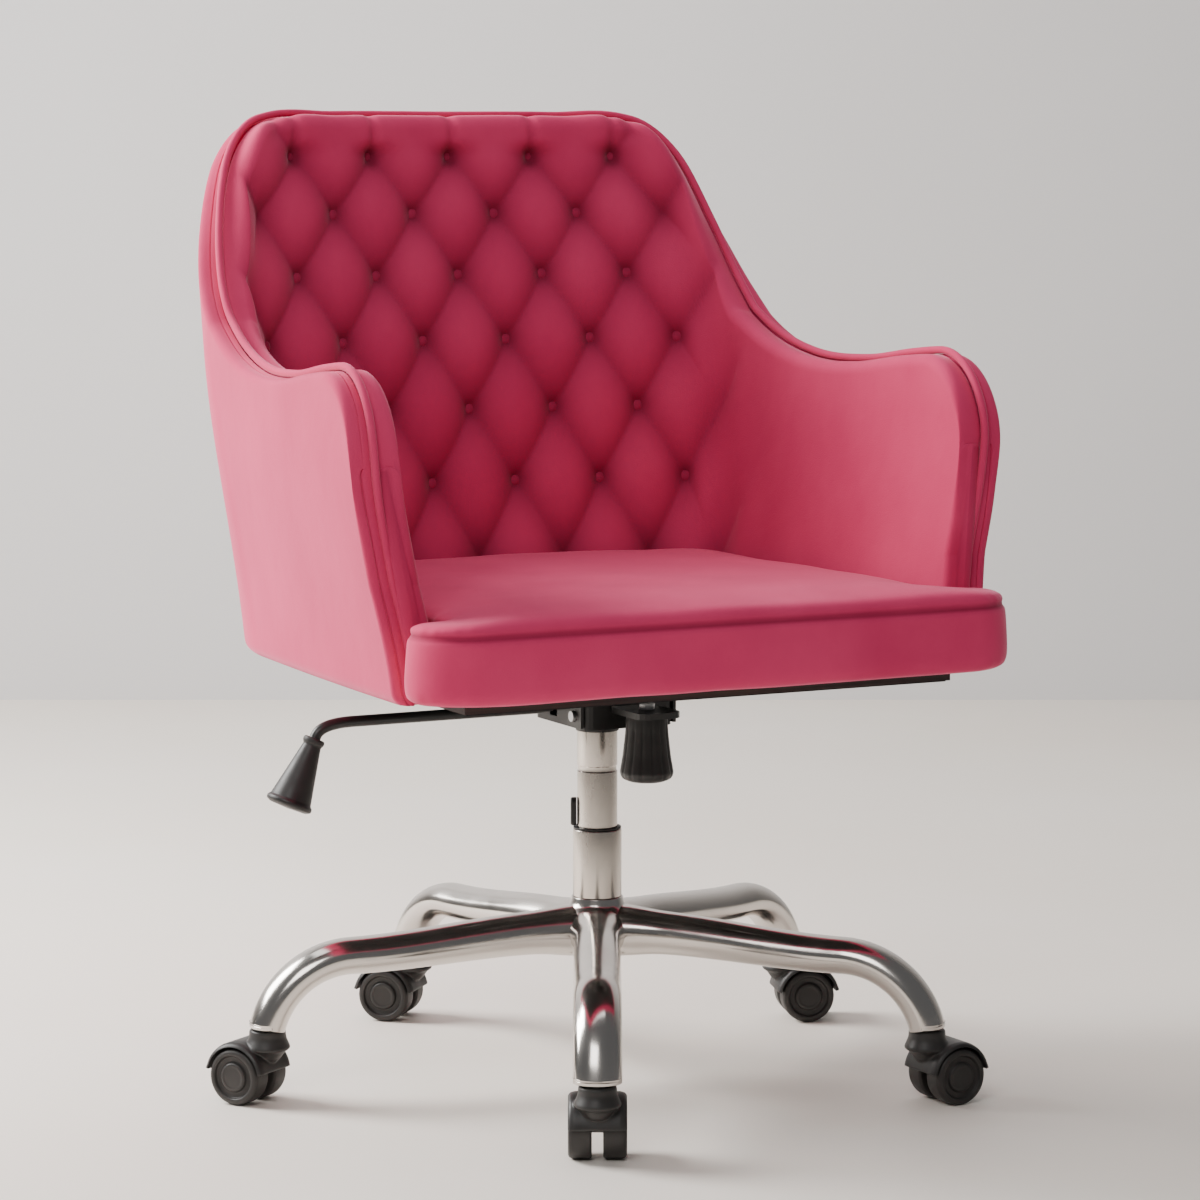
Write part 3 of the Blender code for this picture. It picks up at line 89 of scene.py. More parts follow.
def spread(material, factor, socket, low, high, span=(0.35, 0.65)):
    """Drives a shader socket between two values, or two colours, with a factor."""
    tree = material.node_tree
    ramp = tree.nodes.new("ShaderNodeValToRGB")
    for stop, at, value in zip(ramp.color_ramp.elements, span, (low, high)):
        stop.position = at
        stop.color = (*value, 1.0) if isinstance(value, tuple) else (value, value, value, 1.0)
    tree.links.new(factor, ramp.inputs["Fac"])
    tree.links.new(ramp.outputs["Color"], tree.nodes["Principled BSDF"].inputs[socket])
    return ramp.outputs["Color"]


def emboss(material, factor, height, strength=0.5):
    """Raises the surface by a factor, in metres, on top of any bump the material has already."""
    tree = material.node_tree
    normal = tree.nodes["Principled BSDF"].inputs["Normal"]
    bump = tree.nodes.new("ShaderNodeBump")
    bump.inputs["Distance"].default_value = height
    bump.inputs["Strength"].default_value = strength
    if normal.links:
        tree.links.new(normal.links[0].from_socket, bump.inputs["Normal"])
    tree.links.new(factor, bump.inputs["Height"])
    tree.links.new(bump.outputs["Normal"], normal)


def smooth_mesh(mesh, sharp=35.0):
    mesh.shade_smooth()
    mesh.set_sharp_from_angle(angle=math.radians(sharp))
    return mesh


def piece(name, shape, material, body, stands_for=(), sharp=35.0):
    """Makes a bmesh a piece of the chair that rides on a body."""
    bmesh.ops.remove_doubles(shape, verts=shape.verts, dist=1e-6)
    bmesh.ops.recalc_face_normals(shape, faces=shape.faces)
    mesh = bpy.data.meshes.new(name)
    shape.to_mesh(mesh)
    shape.free()
    mesh.materials.append(material)
    item = bpy.data.objects.new(name, smooth_mesh(mesh, sharp))
    bpy.context.scene.collection.objects.link(item)
    return settled(item, body, stands_for)


def settled(item, body, stands_for=()):
    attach(item, body)
    if stands_for:
        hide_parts(*stands_for)
    return item


def refinished(material, *names):
    """Gives carried-over nodes their finish."""
    for name in names:
        mesh = nodes[name].data
        mesh.materials.clear()
        mesh.materials.append(material)


def skin(shape, rings, closed=False, capped=True):
    """Quads through rings of points; closed joins the last ring to the first."""
    loops = [[shape.verts.new(p) for p in ring] for ring in rings]
    pairs = list(zip(loops, loops[1:]))
    if closed:
        pairs.append((loops[-1], loops[0]))
    count = len(loops[0])
    for one, two in pairs:
        for i in range(count):
            j = (i + 1) % count
            shape.faces.new((one[i], one[j], two[j], two[i]))
    if capped and not closed:
        shape.faces.new(list(reversed(loops[0])))
        shape.faces.new(loops[-1])
    return loops


def eased(outline, radius, steps=4, ring=False):
    """Rounds an outline's corners; its first and last points stay, unless it is a ring."""
    points = [Vector(p) for p in outline]
    count = len(points)
    result = []
    for i, point in enumerate(points):
        if not ring and i in (0, count - 1):
            result.append(point)
            continue
        before, after = points[i - 1] - point, points[(i + 1) % count] - point
        reach = min(radius, before.length * 0.45, after.length * 0.45)
        start, stop = point + before.normalized() * reach, point + after.normalized() * reach
        for step in range(steps + 1):
            t = step / steps
            result.append(start.lerp(point, t).lerp(point.lerp(stop, t), t))
    return result


def turned(shape, outline, place, steps=64, ring=False):
    """Turns an outline of (radius, height) about an axis; place is the matrix that puts it there."""
    rings = []
    for step in range(steps):
        angle = math.tau * step / steps
        rings.append([place @ Vector((r * math.cos(angle), r * math.sin(angle), z)) for r, z in outline])
    loops = [[shape.verts.new(p) for p in points] for points in rings]
    count = len(outline)
    for one, two in zip(loops, loops[1:] + loops[:1]):
        for i in range(count if ring else count - 1):
            j = (i + 1) % count
            shape.faces.new((one[i], two[i], two[j], one[j]))


def at_column(height=0.0):
    return Matrix.Translation(column + Vector((0, 0, height)))


def polished_chrome():
    """Bright plate with the faint cloudiness that handling leaves."""
    chrome = finish("polished_chrome", (0.60, 0.565, 0.53), 0.18, 1.0)
    cloud = mottle(chrome, 22.0, detail=5.0)
    spread(chrome, cloud, "Roughness", 0.14, 0.23)
    emboss(chrome, mottle(chrome, 60.0, (1, 1, 0.3)), 0.0002, 0.10)
    return chrome


chrome = polished_chrome()
ARM_WIDTH = 0.043
ARM_ROOT_DEPTH = 0.042
ARM_END_DEPTH = 0.033
ARM_DROP = 0.011
ARM_BEND = math.radians(75.0)
ROOT_SWELL = 0.013            # how much wider and deeper an arm grows where it meets the hub
hub_low, hub_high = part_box("base_hub")
HUB_RADIUS = (hub_high[0] - hub_low[0]) / 2
arm_low, arm_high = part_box("base_arm_1")
ARM_END = arm_low[2]
ARM_ROOT_Z = (arm_high[2] + arm_high[2] - ARM_ROOT_DEPTH) / 2
caster_names = [f"caster_{number}" for number in range(1, 6)]
stems = [Vector(joints[f"{name}_swivel"]["pos_m"]) for name in caster_names]
BASE_RADIUS = ((stems[0] - column) * Vector((1, 1, 0))).length


def arm_line(start, bend_steps=18):
    """Centre line points (reach, height, slope) from inside the hub to the caster."""
    bend_z = ARM_ROOT_Z - ARM_DROP
    radius = (bend_z - ARM_END) / (1 - math.cos(ARM_BEND))
    bend_start = BASE_RADIUS - radius * math.sin(ARM_BEND)
    line = []
    for step in range(25):
        share = step / 24
        reach = start + (bend_start - start) * share
        fall = blend(0, 1, (reach - HUB_RADIUS) / (bend_start - HUB_RADIUS)) ** 1.1
        line.append((reach, ARM_ROOT_Z - ARM_DROP * fall, 0.0))
    for step in range(1, bend_steps + 1):
        turn = ARM_BEND * step / bend_steps
        line.append((bend_start + radius * math.sin(turn), bend_z - radius * (1 - math.cos(turn)), turn))
    return line


def blend(low, high, share):
    """A smooth step from one value to another."""
    share = min(max(share, 0.0), 1.0)
    return low + (high - low) * share * share * (3 - 2 * share)


def arm_section(reach, height, turn, shrink=0.0, sides=40):
    """One oval section, square to the arm, swelling towards the hub."""
    out = (reach - HUB_RADIUS) / (BASE_RADIUS - HUB_RADIUS)
    swell = ROOT_SWELL * (1 - blend(0, 1, (reach - HUB_RADIUS * 0.4) / 0.062)) ** 1.5
    depth = ARM_END_DEPTH + (ARM_ROOT_DEPTH - ARM_END_DEPTH) * (1 - min(max(out, 0), 1)) ** 1.6
    half_depth = (depth + swell * 0.6) / 2 - shrink
    half_width = (ARM_WIDTH + swell) / 2 - shrink
    section = []
    for side in range(sides):
        angle = math.tau * side / sides
        up = half_depth * math.sin(angle)
        section.append(Vector((reach + up * math.sin(turn), half_width * math.cos(angle),
                               height + up * math.cos(turn))))
    return section


def star_arm(stem):
    """An arm from inside the hub to the closing ring above its caster."""
    shape = bmesh.new()
    line = arm_line(HUB_RADIUS * 0.45)
    rings = [arm_section(*place) for place in line]
    end = (BASE_RADIUS, ARM_END, math.pi / 2)
    for shrink, lift in ((0.0, 0.0050), (0.0009, 0.0044), (0.0009, 0.0036), (0.0, 0.0030), (0.0, 0.0006),
                         (0.0006, 0.0), (0.0080, 0.0)):
        rings.append(arm_section(end[0], end[1] + lift, end[2], shrink))
    outward = stem - column
    turn = Matrix.Rotation(math.atan2(outward.y, outward.x), 4, "Z")
    skin(shape, [[at_column() @ turn @ p for p in ring] for ring in rings])
    return shape


for number, stem in enumerate(stems, 1):
    piece(f"star_arm_{number}", star_arm(stem), chrome, "base", [f"base_arm_{number}"])

tube_low, tube_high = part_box("lower_column")
TUBE_RADIUS = (tube_high[0] - tube_low[0]) / 2
hub = bmesh.new()
hub_outline = [(TUBE_RADIUS - 0.0003, hub_low[2]), (HUB_RADIUS - 0.009, hub_low[2]),
               (HUB_RADIUS - 0.001, hub_low[2] + 0.006), (HUB_RADIUS, ARM_ROOT_Z + 0.010),
               (HUB_RADIUS - 0.006, ARM_ROOT_Z + 0.019), (TUBE_RADIUS + 0.0028, hub_high[2] - 0.007),
               (TUBE_RADIUS + 0.0012, hub_high[2]), (TUBE_RADIUS - 0.0003, hub_high[2])]
turned(hub, eased(hub_outline, 0.008, 6, ring=True), at_column(), 72, ring=True)
piece("star_hub", hub, chrome, "base", ["base_hub"])

# ---- Column ----------------------------------------------------------------------------------------
# A satin steel tube fixed in the hub guides the gas cylinder, which slides and turns in a nylon bush.
# A locking tab stands beside the cylinder, and a nylon collar covers the top of its cone.


def satin_steel(name, colour, roughness):
    """Ground steel: fine rings round the axis, and soft clouds."""
    steel = finish(name, colour, roughness, 1.0)
    spread(steel, mottle(steel, 30.0, (1, 1, 0.5), 6.0), "Roughness", roughness - 0.05, roughness + 0.10)
    emboss(steel, mottle(steel, 40.0, (1, 1, 60), 2.0), 0.00012, 0.12)
    return steel


def moulded_nylon(name, colour, roughness):
    """Black plastic with a fine sparked texture, and dull where it is rubbed."""
    plastic = finish(name, colour, roughness, Specular_IOR_Level=0.42)
    spread(plastic, mottle(plastic, 35.0, detail=4.0), "Roughness", roughness - 0.08, roughness + 0.10)
    tint = tuple(c * 1.9 for c in colour)
    spread(plastic, mottle(plastic, 18.0, detail=5.0), "Base Color", colour, tint, (0.45, 0.75))
    emboss(plastic, mottle(plastic, 1600.0, detail=2.0), 0.00010, 0.25)
    return plastic


column_steel = satin_steel("satin_column", (0.58, 0.53, 0.48), 0.22)
zinc = satin_steel("zinc_plate", (0.55, 0.55, 0.56), 0.32)
nylon = moulded_nylon("black_nylon", (0.016, 0.015, 0.0145), 0.46)

tube = bmesh.new()
bore = TUBE_RADIUS - 0.0028
tube_outline = [(bore, tube_low[2]), (TUBE_RADIUS - 0.0005, tube_low[2]), (TUBE_RADIUS - 0.0005, hub_high[2]),
                (TUBE_RADIUS, hub_high[2] + 0.0006), (TUBE_RADIUS, tube_high[2]), (bore, tube_high[2])]
turned(tube, eased(tube_outline, 0.0012, 3, ring=True), at_column(), 72, ring=True)
piece("column_tube", tube, column_steel, "base", ["lower_column"])

bush_low, bush_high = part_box("column_guide_bush")
bush = bmesh.new()
bush_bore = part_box("gas_cylinder")[1][0] - column.x + 0.0004
bush_outline = [(bush_bore, bush_low[2]), (bore - 0.0002, bush_low[2]),
                (bore - 0.0002, tube_high[2] + 0.0003), (TUBE_RADIUS - 0.0004, tube_high[2] + 0.0003),
                (TUBE_RADIUS - 0.0004, bush_high[2]), (bush_bore, bush_high[2])]
turned(bush, eased(bush_outline, 0.0006, 3, ring=True), at_column(), 72, ring=True)
piece("guide_bush", bush, nylon, "base", ["column_guide_bush"])

GROOVE_RISE = 0.055           # from the tube's top to the cylinder's snap groove
GROOVE_DEPTH = 0.0008
ROD_BORE = 0.0056
PIN_BORE = 0.0047
PIN_BORE_DEPTH = 0.045
cylinder_low, cylinder_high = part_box("gas_cylinder")
GAS_RADIUS = (cylinder_high[0] - cylinder_low[0]) / 2
collar_low, collar_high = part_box("column_collar")
groove = tube_high[2] + GROOVE_RISE
cylinder = bmesh.new()
cylinder_outline = [(ROD_BORE, cylinder_low[2]), (GAS_RADIUS, cylinder_low[2]), (GAS_RADIUS, groove),
                    (GAS_RADIUS - GROOVE_DEPTH, groove + 0.0006),
                    (GAS_RADIUS - GROOVE_DEPTH, groove + 0.0050),
                    (GAS_RADIUS, groove + 0.0058), (GAS_RADIUS, collar_low[2] + 0.002),
                    (GAS_RADIUS - 0.0027, collar_high[2]), (GAS_RADIUS - 0.0045, cylinder_high[2]),
                    (PIN_BORE, cylinder_high[2]), (PIN_BORE, cylinder_high[2] - PIN_BORE_DEPTH),
                    (ROD_BORE, cylinder_high[2] - PIN_BORE_DEPTH - 0.002)]
turned(cylinder, eased(cylinder_outline, 0.0007, 3, ring=True), at_column(), 72, ring=True)
piece("gas_spring_cylinder", cylinder, column_steel, "lift", ["gas_cylinder"])

collar = bmesh.new()
COLLAR_RADIUS = GAS_RADIUS + 0.0013
collar_outline = [(GAS_RADIUS + 0.0003, collar_low[2]), (COLLAR_RADIUS, collar_low[2]),
                  (COLLAR_RADIUS, collar_high[2]), (GAS_RADIUS - 0.0012, collar_high[2])]
turned(collar, eased(collar_outline, 0.0006, 3, ring=True), at_column(), 64, ring=True)
piece("column_top_collar", collar, nylon, "lift", ["column_collar"])

tab_low, tab_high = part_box("column_tab")
tab_centre = (Vector(tab_low) + Vector(tab_high)) / 2
tab_out = (tab_centre - column) * Vector((1, 1, 0))
tab_turn = Matrix.Rotation(math.atan2(tab_out.y, tab_out.x), 4, "Z")
TAB_WIDTH = 0.010
TAB_DEPTH = 0.0055
tab = bmesh.new()


def pill(width, height, sides=10):
    """A rounded oblong standing upright, as (across, up) points."""
    radius = width / 2
    ends = ((height / 2 - radius, 0.0), (radius - height / 2, math.pi))
    turns = [(up, start + math.pi * i / sides) for up, start in ends for i in range(sides + 1)]
    return [(radius * math.cos(angle), up + radius * math.sin(angle)) for up, angle in turns]


tab_height = tab_high[2] - tab_low[2]
tab_rings = []
for depth, inset in ((-TAB_DEPTH / 2, 0.0), (TAB_DEPTH / 2 - 0.0012, 0.0), (TAB_DEPTH / 2, 0.0011),
                     (TAB_DEPTH / 2, 0.0022), (TAB_DEPTH / 2 - 0.0009, 0.0026)):
    tab_rings.append([Matrix.Translation(tab_centre) @ tab_turn @ Vector((depth, across, up))
                      for across, up in pill(TAB_WIDTH - 2 * inset, tab_height - 2 * inset)])
skin(tab, tab_rings)
piece("locking_tab", tab, nylon, "base", ["column_tab"])
refinished(column_steel, "piston_rod")
refinished(zinc, "thrust_bearing", "column_foot_clip", "release_pin")

# ---- Casters ---------------------------------------------------------------------------------------
# Each caster is a nylon hood, moulded in one with its neck and the web between the wheels, on a steel
# stem that is pressed into the arm's end.  Two nylon wheels turn on the axle, one each side of the web.
wheel_nylon = moulded_nylon("wheel_nylon", (0.020, 0.018, 0.017), 0.50)
WHEEL_WIDTH = 0.0215
WHEEL_SPACING = 0.010
HOOD_HALF = WHEEL_SPACING / 2 + WHEEL_WIDTH - 0.0004
HOOD_INNER = 0.0284
HOOD_OUTER = 0.0319
WEB_HALF = 0.0042
NECK_RADIUS = 0.0172
axles = [Vector(joints[f"{name}_left_roll"]["pos_m"]) for name in caster_names]
WHEEL_RADIUS = axles[0].z
TRAIL = ((axles[0] - stems[0]) * Vector((1, 1, 0))).length
hood_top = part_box("caster_hood_1")[1][2] - WHEEL_RADIUS


def caster_place(number):
    """From a caster drawn about its axle, trailing towards +X, to its place under the chair."""
    axle = axles[number - 1]
    trail = (axle - stems[number - 1]) * Vector((1, 1, 0))
    across = Vector(joints[f"caster_{number}_left_roll"]["axis"])
    turn = Matrix((trail.normalized(), across, Vector((0, 0, 1)))).transposed().to_4x4()
    return Matrix.Translation(axle) @ turn


LYING = Matrix.Rotation(math.radians(-90), 4, "X")      # from upright to lying along +Y


def helper(shape):
    """A stand-in for modifiers to work with, deleted again afterwards."""
    bmesh.ops.recalc_face_normals(shape, faces=shape.faces)
    mesh = bpy.data.meshes.new("helper")
    shape.to_mesh(mesh)
    shape.free()
    item = bpy.data.objects.new("helper", mesh)
    bpy.context.scene.collection.objects.link(item)
    return item


def evaluated(item):
    """The plain mesh of an object with its modifiers applied; the object is removed."""
    graph = bpy.context.evaluated_depsgraph_get()
    mesh = bpy.data.meshes.new_from_object(item.evaluated_get(graph))
    bpy.data.objects.remove(item, do_unlink=True)
    return mesh


def hood_blank():
    """The hood before its wheel rooms are hollowed out: arch, neck and the flare between them."""
    shape = bmesh.new()
    low, high = math.radians(10), math.radians(171)
    arch = []
    for step in range(41):
        angle = low + (high - low) * step / 40
        lip = 0.0009 * blend(1, 0, (angle - low) / 0.10)
        side = [(HOOD_HALF, 0.006), (HOOD_HALF, HOOD_OUTER - 0.0035),
                (HOOD_HALF - 0.0020, HOOD_OUTER - 0.0008), (HOOD_HALF - 0.0060, HOOD_OUTER + 0.0004)]
        section = [(-y, r + lip) for y, r in side] + [(y, r + lip) for y, r in reversed(side)]
        arch.append([Vector((r * math.cos(angle), y, r * math.sin(angle))) for y, r in section])
    skin(shape, arch)
    foot = hood_top - 0.027
    neck = [(0.0, foot - 0.004), (0.0105, foot - 0.003), (0.0165, foot + 0.006), (0.0215, foot + 0.009),
            (0.0195, foot + 0.0135), (NECK_RADIUS, foot + 0.019), (NECK_RADIUS - 0.0003, hood_top - 0.0015),
            (NECK_RADIUS - 0.0020, hood_top - 0.0003), (0.0, hood_top - 0.0003)]
    turned(shape, eased(neck, 0.004, 4), Matrix.Translation((-TRAIL, 0, 0)), 48)
    return shape


def hood_mesh():
    """The moulding: blank run together with soft fillets, then hollowed for the wheels."""
    blank = helper(hood_blank())
    melt = blank.modifiers.new("melt", "REMESH")
    melt.mode = "VOXEL"
    melt.voxel_size = 0.0008
    settle = blank.modifiers.new("settle", "SMOOTH")
    settle.factor = 0.6
    settle.iterations = 7
    rooms = bmesh.new()
    for hand in (-1, 1):
        near, far = sorted((hand * WEB_HALF, hand * (HOOD_HALF + 0.02)))
        turned(rooms, [(0, near), (HOOD_INNER, near), (HOOD_INNER, far), (0, far)], LYING, 72)
    room = helper(rooms)
    hollow = blank.modifiers.new("hollow", "BOOLEAN")
    hollow.operation = "DIFFERENCE"
    hollow.solver = "EXACT"
    hollow.object = room
    mesh = evaluated(blank)
    bpy.data.objects.remove(room, do_unlink=True)
    return mesh


def placed_copy(name, mesh, place, material, body, stands_for, sharp=35.0):
    """A mesh's copy, set in its place as a piece."""
    copy = mesh.copy()
    copy.name = name
    copy.transform(place)
    copy.materials.clear()
    copy.materials.append(material)
    item = bpy.data.objects.new(name, smooth_mesh(copy, sharp))
    bpy.context.scene.collection.objects.link(item)
    return settled(item, body, stands_for)


def wheel_shape(hand):
    """A wheel from its inner face, over the tread, to the rim ring, the dished face and the hub cap."""
    near = WHEEL_SPACING / 2
    far = near + WHEEL_WIDTH
    cap = WHEEL_RADIUS * 0.45
    outline = [(0.0043, near + 0.0006), (WHEEL_RADIUS * 0.7, near + 0.0006), (WHEEL_RADIUS * 0.74, near),
               (WHEEL_RADIUS - 0.0016, near), (WHEEL_RADIUS, near + 0.0018), (WHEEL_RADIUS, far - 0.0048),
               (WHEEL_RADIUS - 0.0012, far - 0.0018), (WHEEL_RADIUS - 0.0036, far - 0.0006),
               (WHEEL_RADIUS - 0.0062, far - 0.0008), (WHEEL_RADIUS - 0.0072, far - 0.0036),
               (cap + 0.0022, far - 0.0042), (cap + 0.0012, far - 0.0012), (cap - 0.0010, far - 0.0006),
               (cap - 0.0026, far - 0.0011), (0.0, far - 0.0009)]
    rounded = [(r, y * hand) for r, y in eased(outline, 0.0009, 3)]
    shape = bmesh.new()
    turned(shape, [(0.0043, (far - 0.0043) * hand), *rounded[:1], *rounded], LYING, 72)
    return shape


hood = hood_mesh()
for number in range(1, 6):
    place = caster_place(number)
    placed_copy(f"hood_{number}", hood, place, nylon, f"caster_{number}",
                [f"caster_hood_{number}"], 40)
    for side, hand in (("left", 1), ("right", -1)):
        wheel = wheel_shape(hand)
        bmesh.ops.transform(wheel, matrix=place, verts=wheel.verts)
        piece(f"wheel_{number}_{side}", wheel, wheel_nylon, f"wheel_{number}_{side}",
              [f"caster_wheel_{number}_{side}"])
    refinished(zinc, f"caster_stem_{number}", f"caster_axle_{number}")

# ---- Tilt mechanism --------------------------------------------------------------------------------
# A pressed steel box, powder coated black, sits on the cylinder's cone and carries the seat on a
# shaft.  A bell-shaped nylon knob on the long bolt in front of it sets the tilt spring.


def powder_coat():
    """Black powder coat, with its orange peel."""
    coat = finish("powder_coat", (0.014, 0.0135, 0.0135), 0.42, Specular_IOR_Level=0.5)
    spread(coat, mottle(coat, 14.0, detail=4.0), "Roughness", 0.34, 0.52)
    emboss(coat, mottle(coat, 520.0, detail=1.0), 0.00016, 0.30)
    return coat


powder = powder_coat()
refinished(powder, "tilt_housing")
refinished(zinc, "tilt_pivot_shaft", "tension_bolt", "tension_spring")
housing_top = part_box("tilt_housing")[1][2]
knob_low, knob_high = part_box("tension_knob")
KNOB_RADIUS = (knob_high[0] - knob_low[0]) / 2
KNOB_TOP_RADIUS = 0.019
KNOB_WALL = 0.003
KNOB_FLOOR = 0.0202
FLUTES = 14
FLUTE_DEPTH = 0.0010
knob_axis = (Vector(knob_low) + Vector(knob_high)) / 2 * Vector((1, 1, 0))
knob_tall = knob_high[2] - knob_low[2]
flare = KNOB_RADIUS - KNOB_TOP_RADIUS
knob_outline = [(0.0, 0.0), (KNOB_RADIUS * 0.62, 0.0010), (KNOB_RADIUS - 0.0022, 0.0040),
                (KNOB_RADIUS, 0.0090),
                (KNOB_TOP_RADIUS + flare * 0.55, knob_tall * 0.40),
                (KNOB_TOP_RADIUS + flare * 0.15, knob_tall * 0.75), (KNOB_TOP_RADIUS, knob_tall),
                (KNOB_TOP_RADIUS - KNOB_WALL, knob_tall), (KNOB_TOP_RADIUS - KNOB_WALL, KNOB_FLOOR),
                (0.0048, KNOB_FLOOR)]
knob = bmesh.new()
turned(knob, eased(knob_outline, 0.003, 5), Matrix.Translation(knob_axis + Vector((0, 0, knob_low[2]))), 140)
for vertex in knob.verts:
    out = (vertex.co - knob_axis) * Vector((1, 1, 0))
    up = (vertex.co.z - knob_low[2]) / knob_tall
    if out.length > KNOB_TOP_RADIUS - 0.001 and 0.05 < up < 0.97:
        turn = math.atan2(out.y, out.x) * FLUTES
        depth = FLUTE_DEPTH * max(math.cos(turn), 0.0) ** 2 * min(up / 0.25, 1, (1 - up) / 0.10)
        vertex.co -= out.normalized() * depth
piece("tilt_tension_knob", knob, nylon, "tension_knob", ["tension_knob"])

# ---- Height lever ----------------------------------------------------------------------------------
# A bent steel rod, coated black, rocks in a nylon sleeve over the release pin.  Its outer end turns
# down into a cone-shaped nylon grip, which is pushed on up to a collar ring.
LEVER_RADIUS = 0.0052
LEVER_TIP_RADIUS = 0.003
LEVER_DROP = 0.008            # from the housing's top edge down to the rod's axis
LEVER_REACH = 0.250
GRIP_LEAN = math.radians(24.0)
GRIP_REACH = 0.0375
GRIP_DROP = 0.013
GRIP_LENGTH = 0.068
GRIP_TOP_RADIUS = 0.010
GRIP_FOOT_RADIUS = 0.0215
GRIP_ENGAGEMENT = 0.028       # length of rod inside the grip
wall_x = (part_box("tilt_housing")[1][0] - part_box("tilt_housing")[0][0]) / 2
lever_z = housing_top - LEVER_DROP


def swept(shape, path, radii, side, sides=20):
    """A round bar along a path, with a radius at each point."""
    rings = []
    for i, point in enumerate(path):
        ahead = (path[min(i + 1, len(path) - 1)] - path[max(i - 1, 0)]).normalized()
        across = (side - ahead * side.dot(ahead)).normalized()
        up = ahead.cross(across)
        rings.append([point + (across * math.cos(math.tau * k / sides) + up * math.sin(math.tau * k / sides))
                      * radii[i] for k in range(sides)])
    skin(shape, rings)


grip_down = Vector((-math.sin(GRIP_LEAN), 0, -math.cos(GRIP_LEAN)))
grip_top = Vector((-LEVER_REACH - GRIP_REACH, 0, lever_z - GRIP_DROP))
corner = Vector((grip_top.x + GRIP_DROP / grip_down.z * grip_down.x, 0, lever_z))
lever_line = [(0.014, housing_top + 0.0055), (-0.026, housing_top + 0.0045),
              (-wall_x - 0.004, lever_z + 0.001), (-wall_x - 0.014, lever_z), (-LEVER_REACH, lever_z)]
lever_path = eased([Vector((x, 0, z)) for x, z in lever_line], 0.006, 4)
bend_start = lever_path.pop()
bend_end = grip_top - grip_down * 0.002
lever_path += [bend_start.lerp(corner, t / 12).lerp(corner.lerp(bend_end, t / 12), t / 12) for t in range(13)]
lever_path.append(grip_top + grip_down * GRIP_ENGAGEMENT)
lever_radii = [LEVER_TIP_RADIUS if p.x > -wall_x else LEVER_RADIUS for p in lever_path]
lever = bmesh.new()
swept(lever, [p + column for p in lever_path], lever_radii, Vector((0, 1, 0)))
piece("lever_bar", lever, powder, "lever", ["lever_rod"], 50)

grip = bmesh.new()
grip_outline = [(LEVER_RADIUS + 0.0004, 0.0), (GRIP_TOP_RADIUS - 0.0012, 0.0), (GRIP_TOP_RADIUS, 0.0014),
                (GRIP_TOP_RADIUS, 0.0044), (GRIP_TOP_RADIUS - 0.0016, 0.0066),
                (GRIP_FOOT_RADIUS - 0.0022, GRIP_LENGTH - 0.0085), (GRIP_FOOT_RADIUS, GRIP_LENGTH - 0.0066),
                (GRIP_FOOT_RADIUS, GRIP_LENGTH - 0.0030), (GRIP_FOOT_RADIUS - 0.0045, GRIP_LENGTH - 0.0008),
                (0.0, GRIP_LENGTH)]
grip_place = Matrix.Translation(column + grip_top) @ grip_down.to_track_quat("Z", "Y").to_matrix().to_4x4()
turned(grip, eased(grip_outline, 0.0016, 4), grip_place, 64)
piece("lever_cone_grip", grip, nylon, "lever", ["lever_grip"])
refinished(nylon, "lever_bush")

# ---- Seat base -------------------------------------------------------------------------------------
# A plywood board, coloured near black, carries the shell and the cushion.  Four screws hold the black seat
# plate to it, and a non-woven dust cover, stapled round its edge, closes the underside.
BACK_SHARE = 0.36             # along the half outline: middle of the back to the corner
CORNER_SHARE = 0.60           # corner to the straight side
FRONT_SHARE = 0.93            # where the arm's front starts to round over
SEAT_HALF_WIDTH = 0.300
ARM_FLARE = 0.030
REAR_HALF_WIDTH = 0.282
REAR_FLARE = 0.022
CORNER_DEPTH = 0.130
CORNER_EASE = 0.062
BACK_FLAT_X = 0.200
BACK_Y = 0.275
BACK_LEAN = 0.095
BACK_BOW = 0.020
ARM_FRONT_Y = -0.180
ARM_FRONT_SLANT = 0.020
ARM_BOW = 0.005
BOARD_INSET = 0.055
shell_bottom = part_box("shell_frame")[0][2]
back_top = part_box("shell_piping")[1][2]


def outline_point(share, z):
    """The shell's outer face in plan at height z: share 0 is the back's middle, 1 the arm's front."""
    rise = (z - shell_bottom) / (back_top - shell_bottom)
    back = BACK_Y + BACK_LEAN * max(rise, 0.0) ** 0.87
    rear_half = REAR_HALF_WIDTH + blend(0, REAR_FLARE, rise / 0.55)
    front_half = SEAT_HALF_WIDTH + blend(0, ARM_FLARE, rise / 0.45)
    front = ARM_FRONT_Y - ARM_FRONT_SLANT * (1 - min(max(rise / 0.2, 0.0), 1.0))
    side = Vector((rear_half, back - CORNER_DEPTH))
    if share <= BACK_SHARE:
        t = share / BACK_SHARE
        return Vector((BACK_FLAT_X * t, back - BACK_BOW * t * t))
    if share <= CORNER_SHARE:
        t = (share - BACK_SHARE) / (CORNER_SHARE - BACK_SHARE)
        flat = Vector((BACK_FLAT_X, back - BACK_BOW))
        slope = Vector((1.0, -2 * BACK_BOW / BACK_FLAT_X)).normalized()
        one, two = flat + slope * CORNER_EASE, side + Vector((-0.002, CORNER_EASE))
        return flat * (1 - t) ** 3 + one * 3 * t * (1 - t) ** 2 + two * 3 * t * t * (1 - t) + side * t ** 3
    t = (share - CORNER_SHARE) / (1 - CORNER_SHARE)
    end = Vector((front_half, front))
    middle = (side + end) / 2 + Vector((ARM_BOW, 0))
    return side * (1 - t) ** 2 + middle * 2 * t * (1 - t) + end * t * t


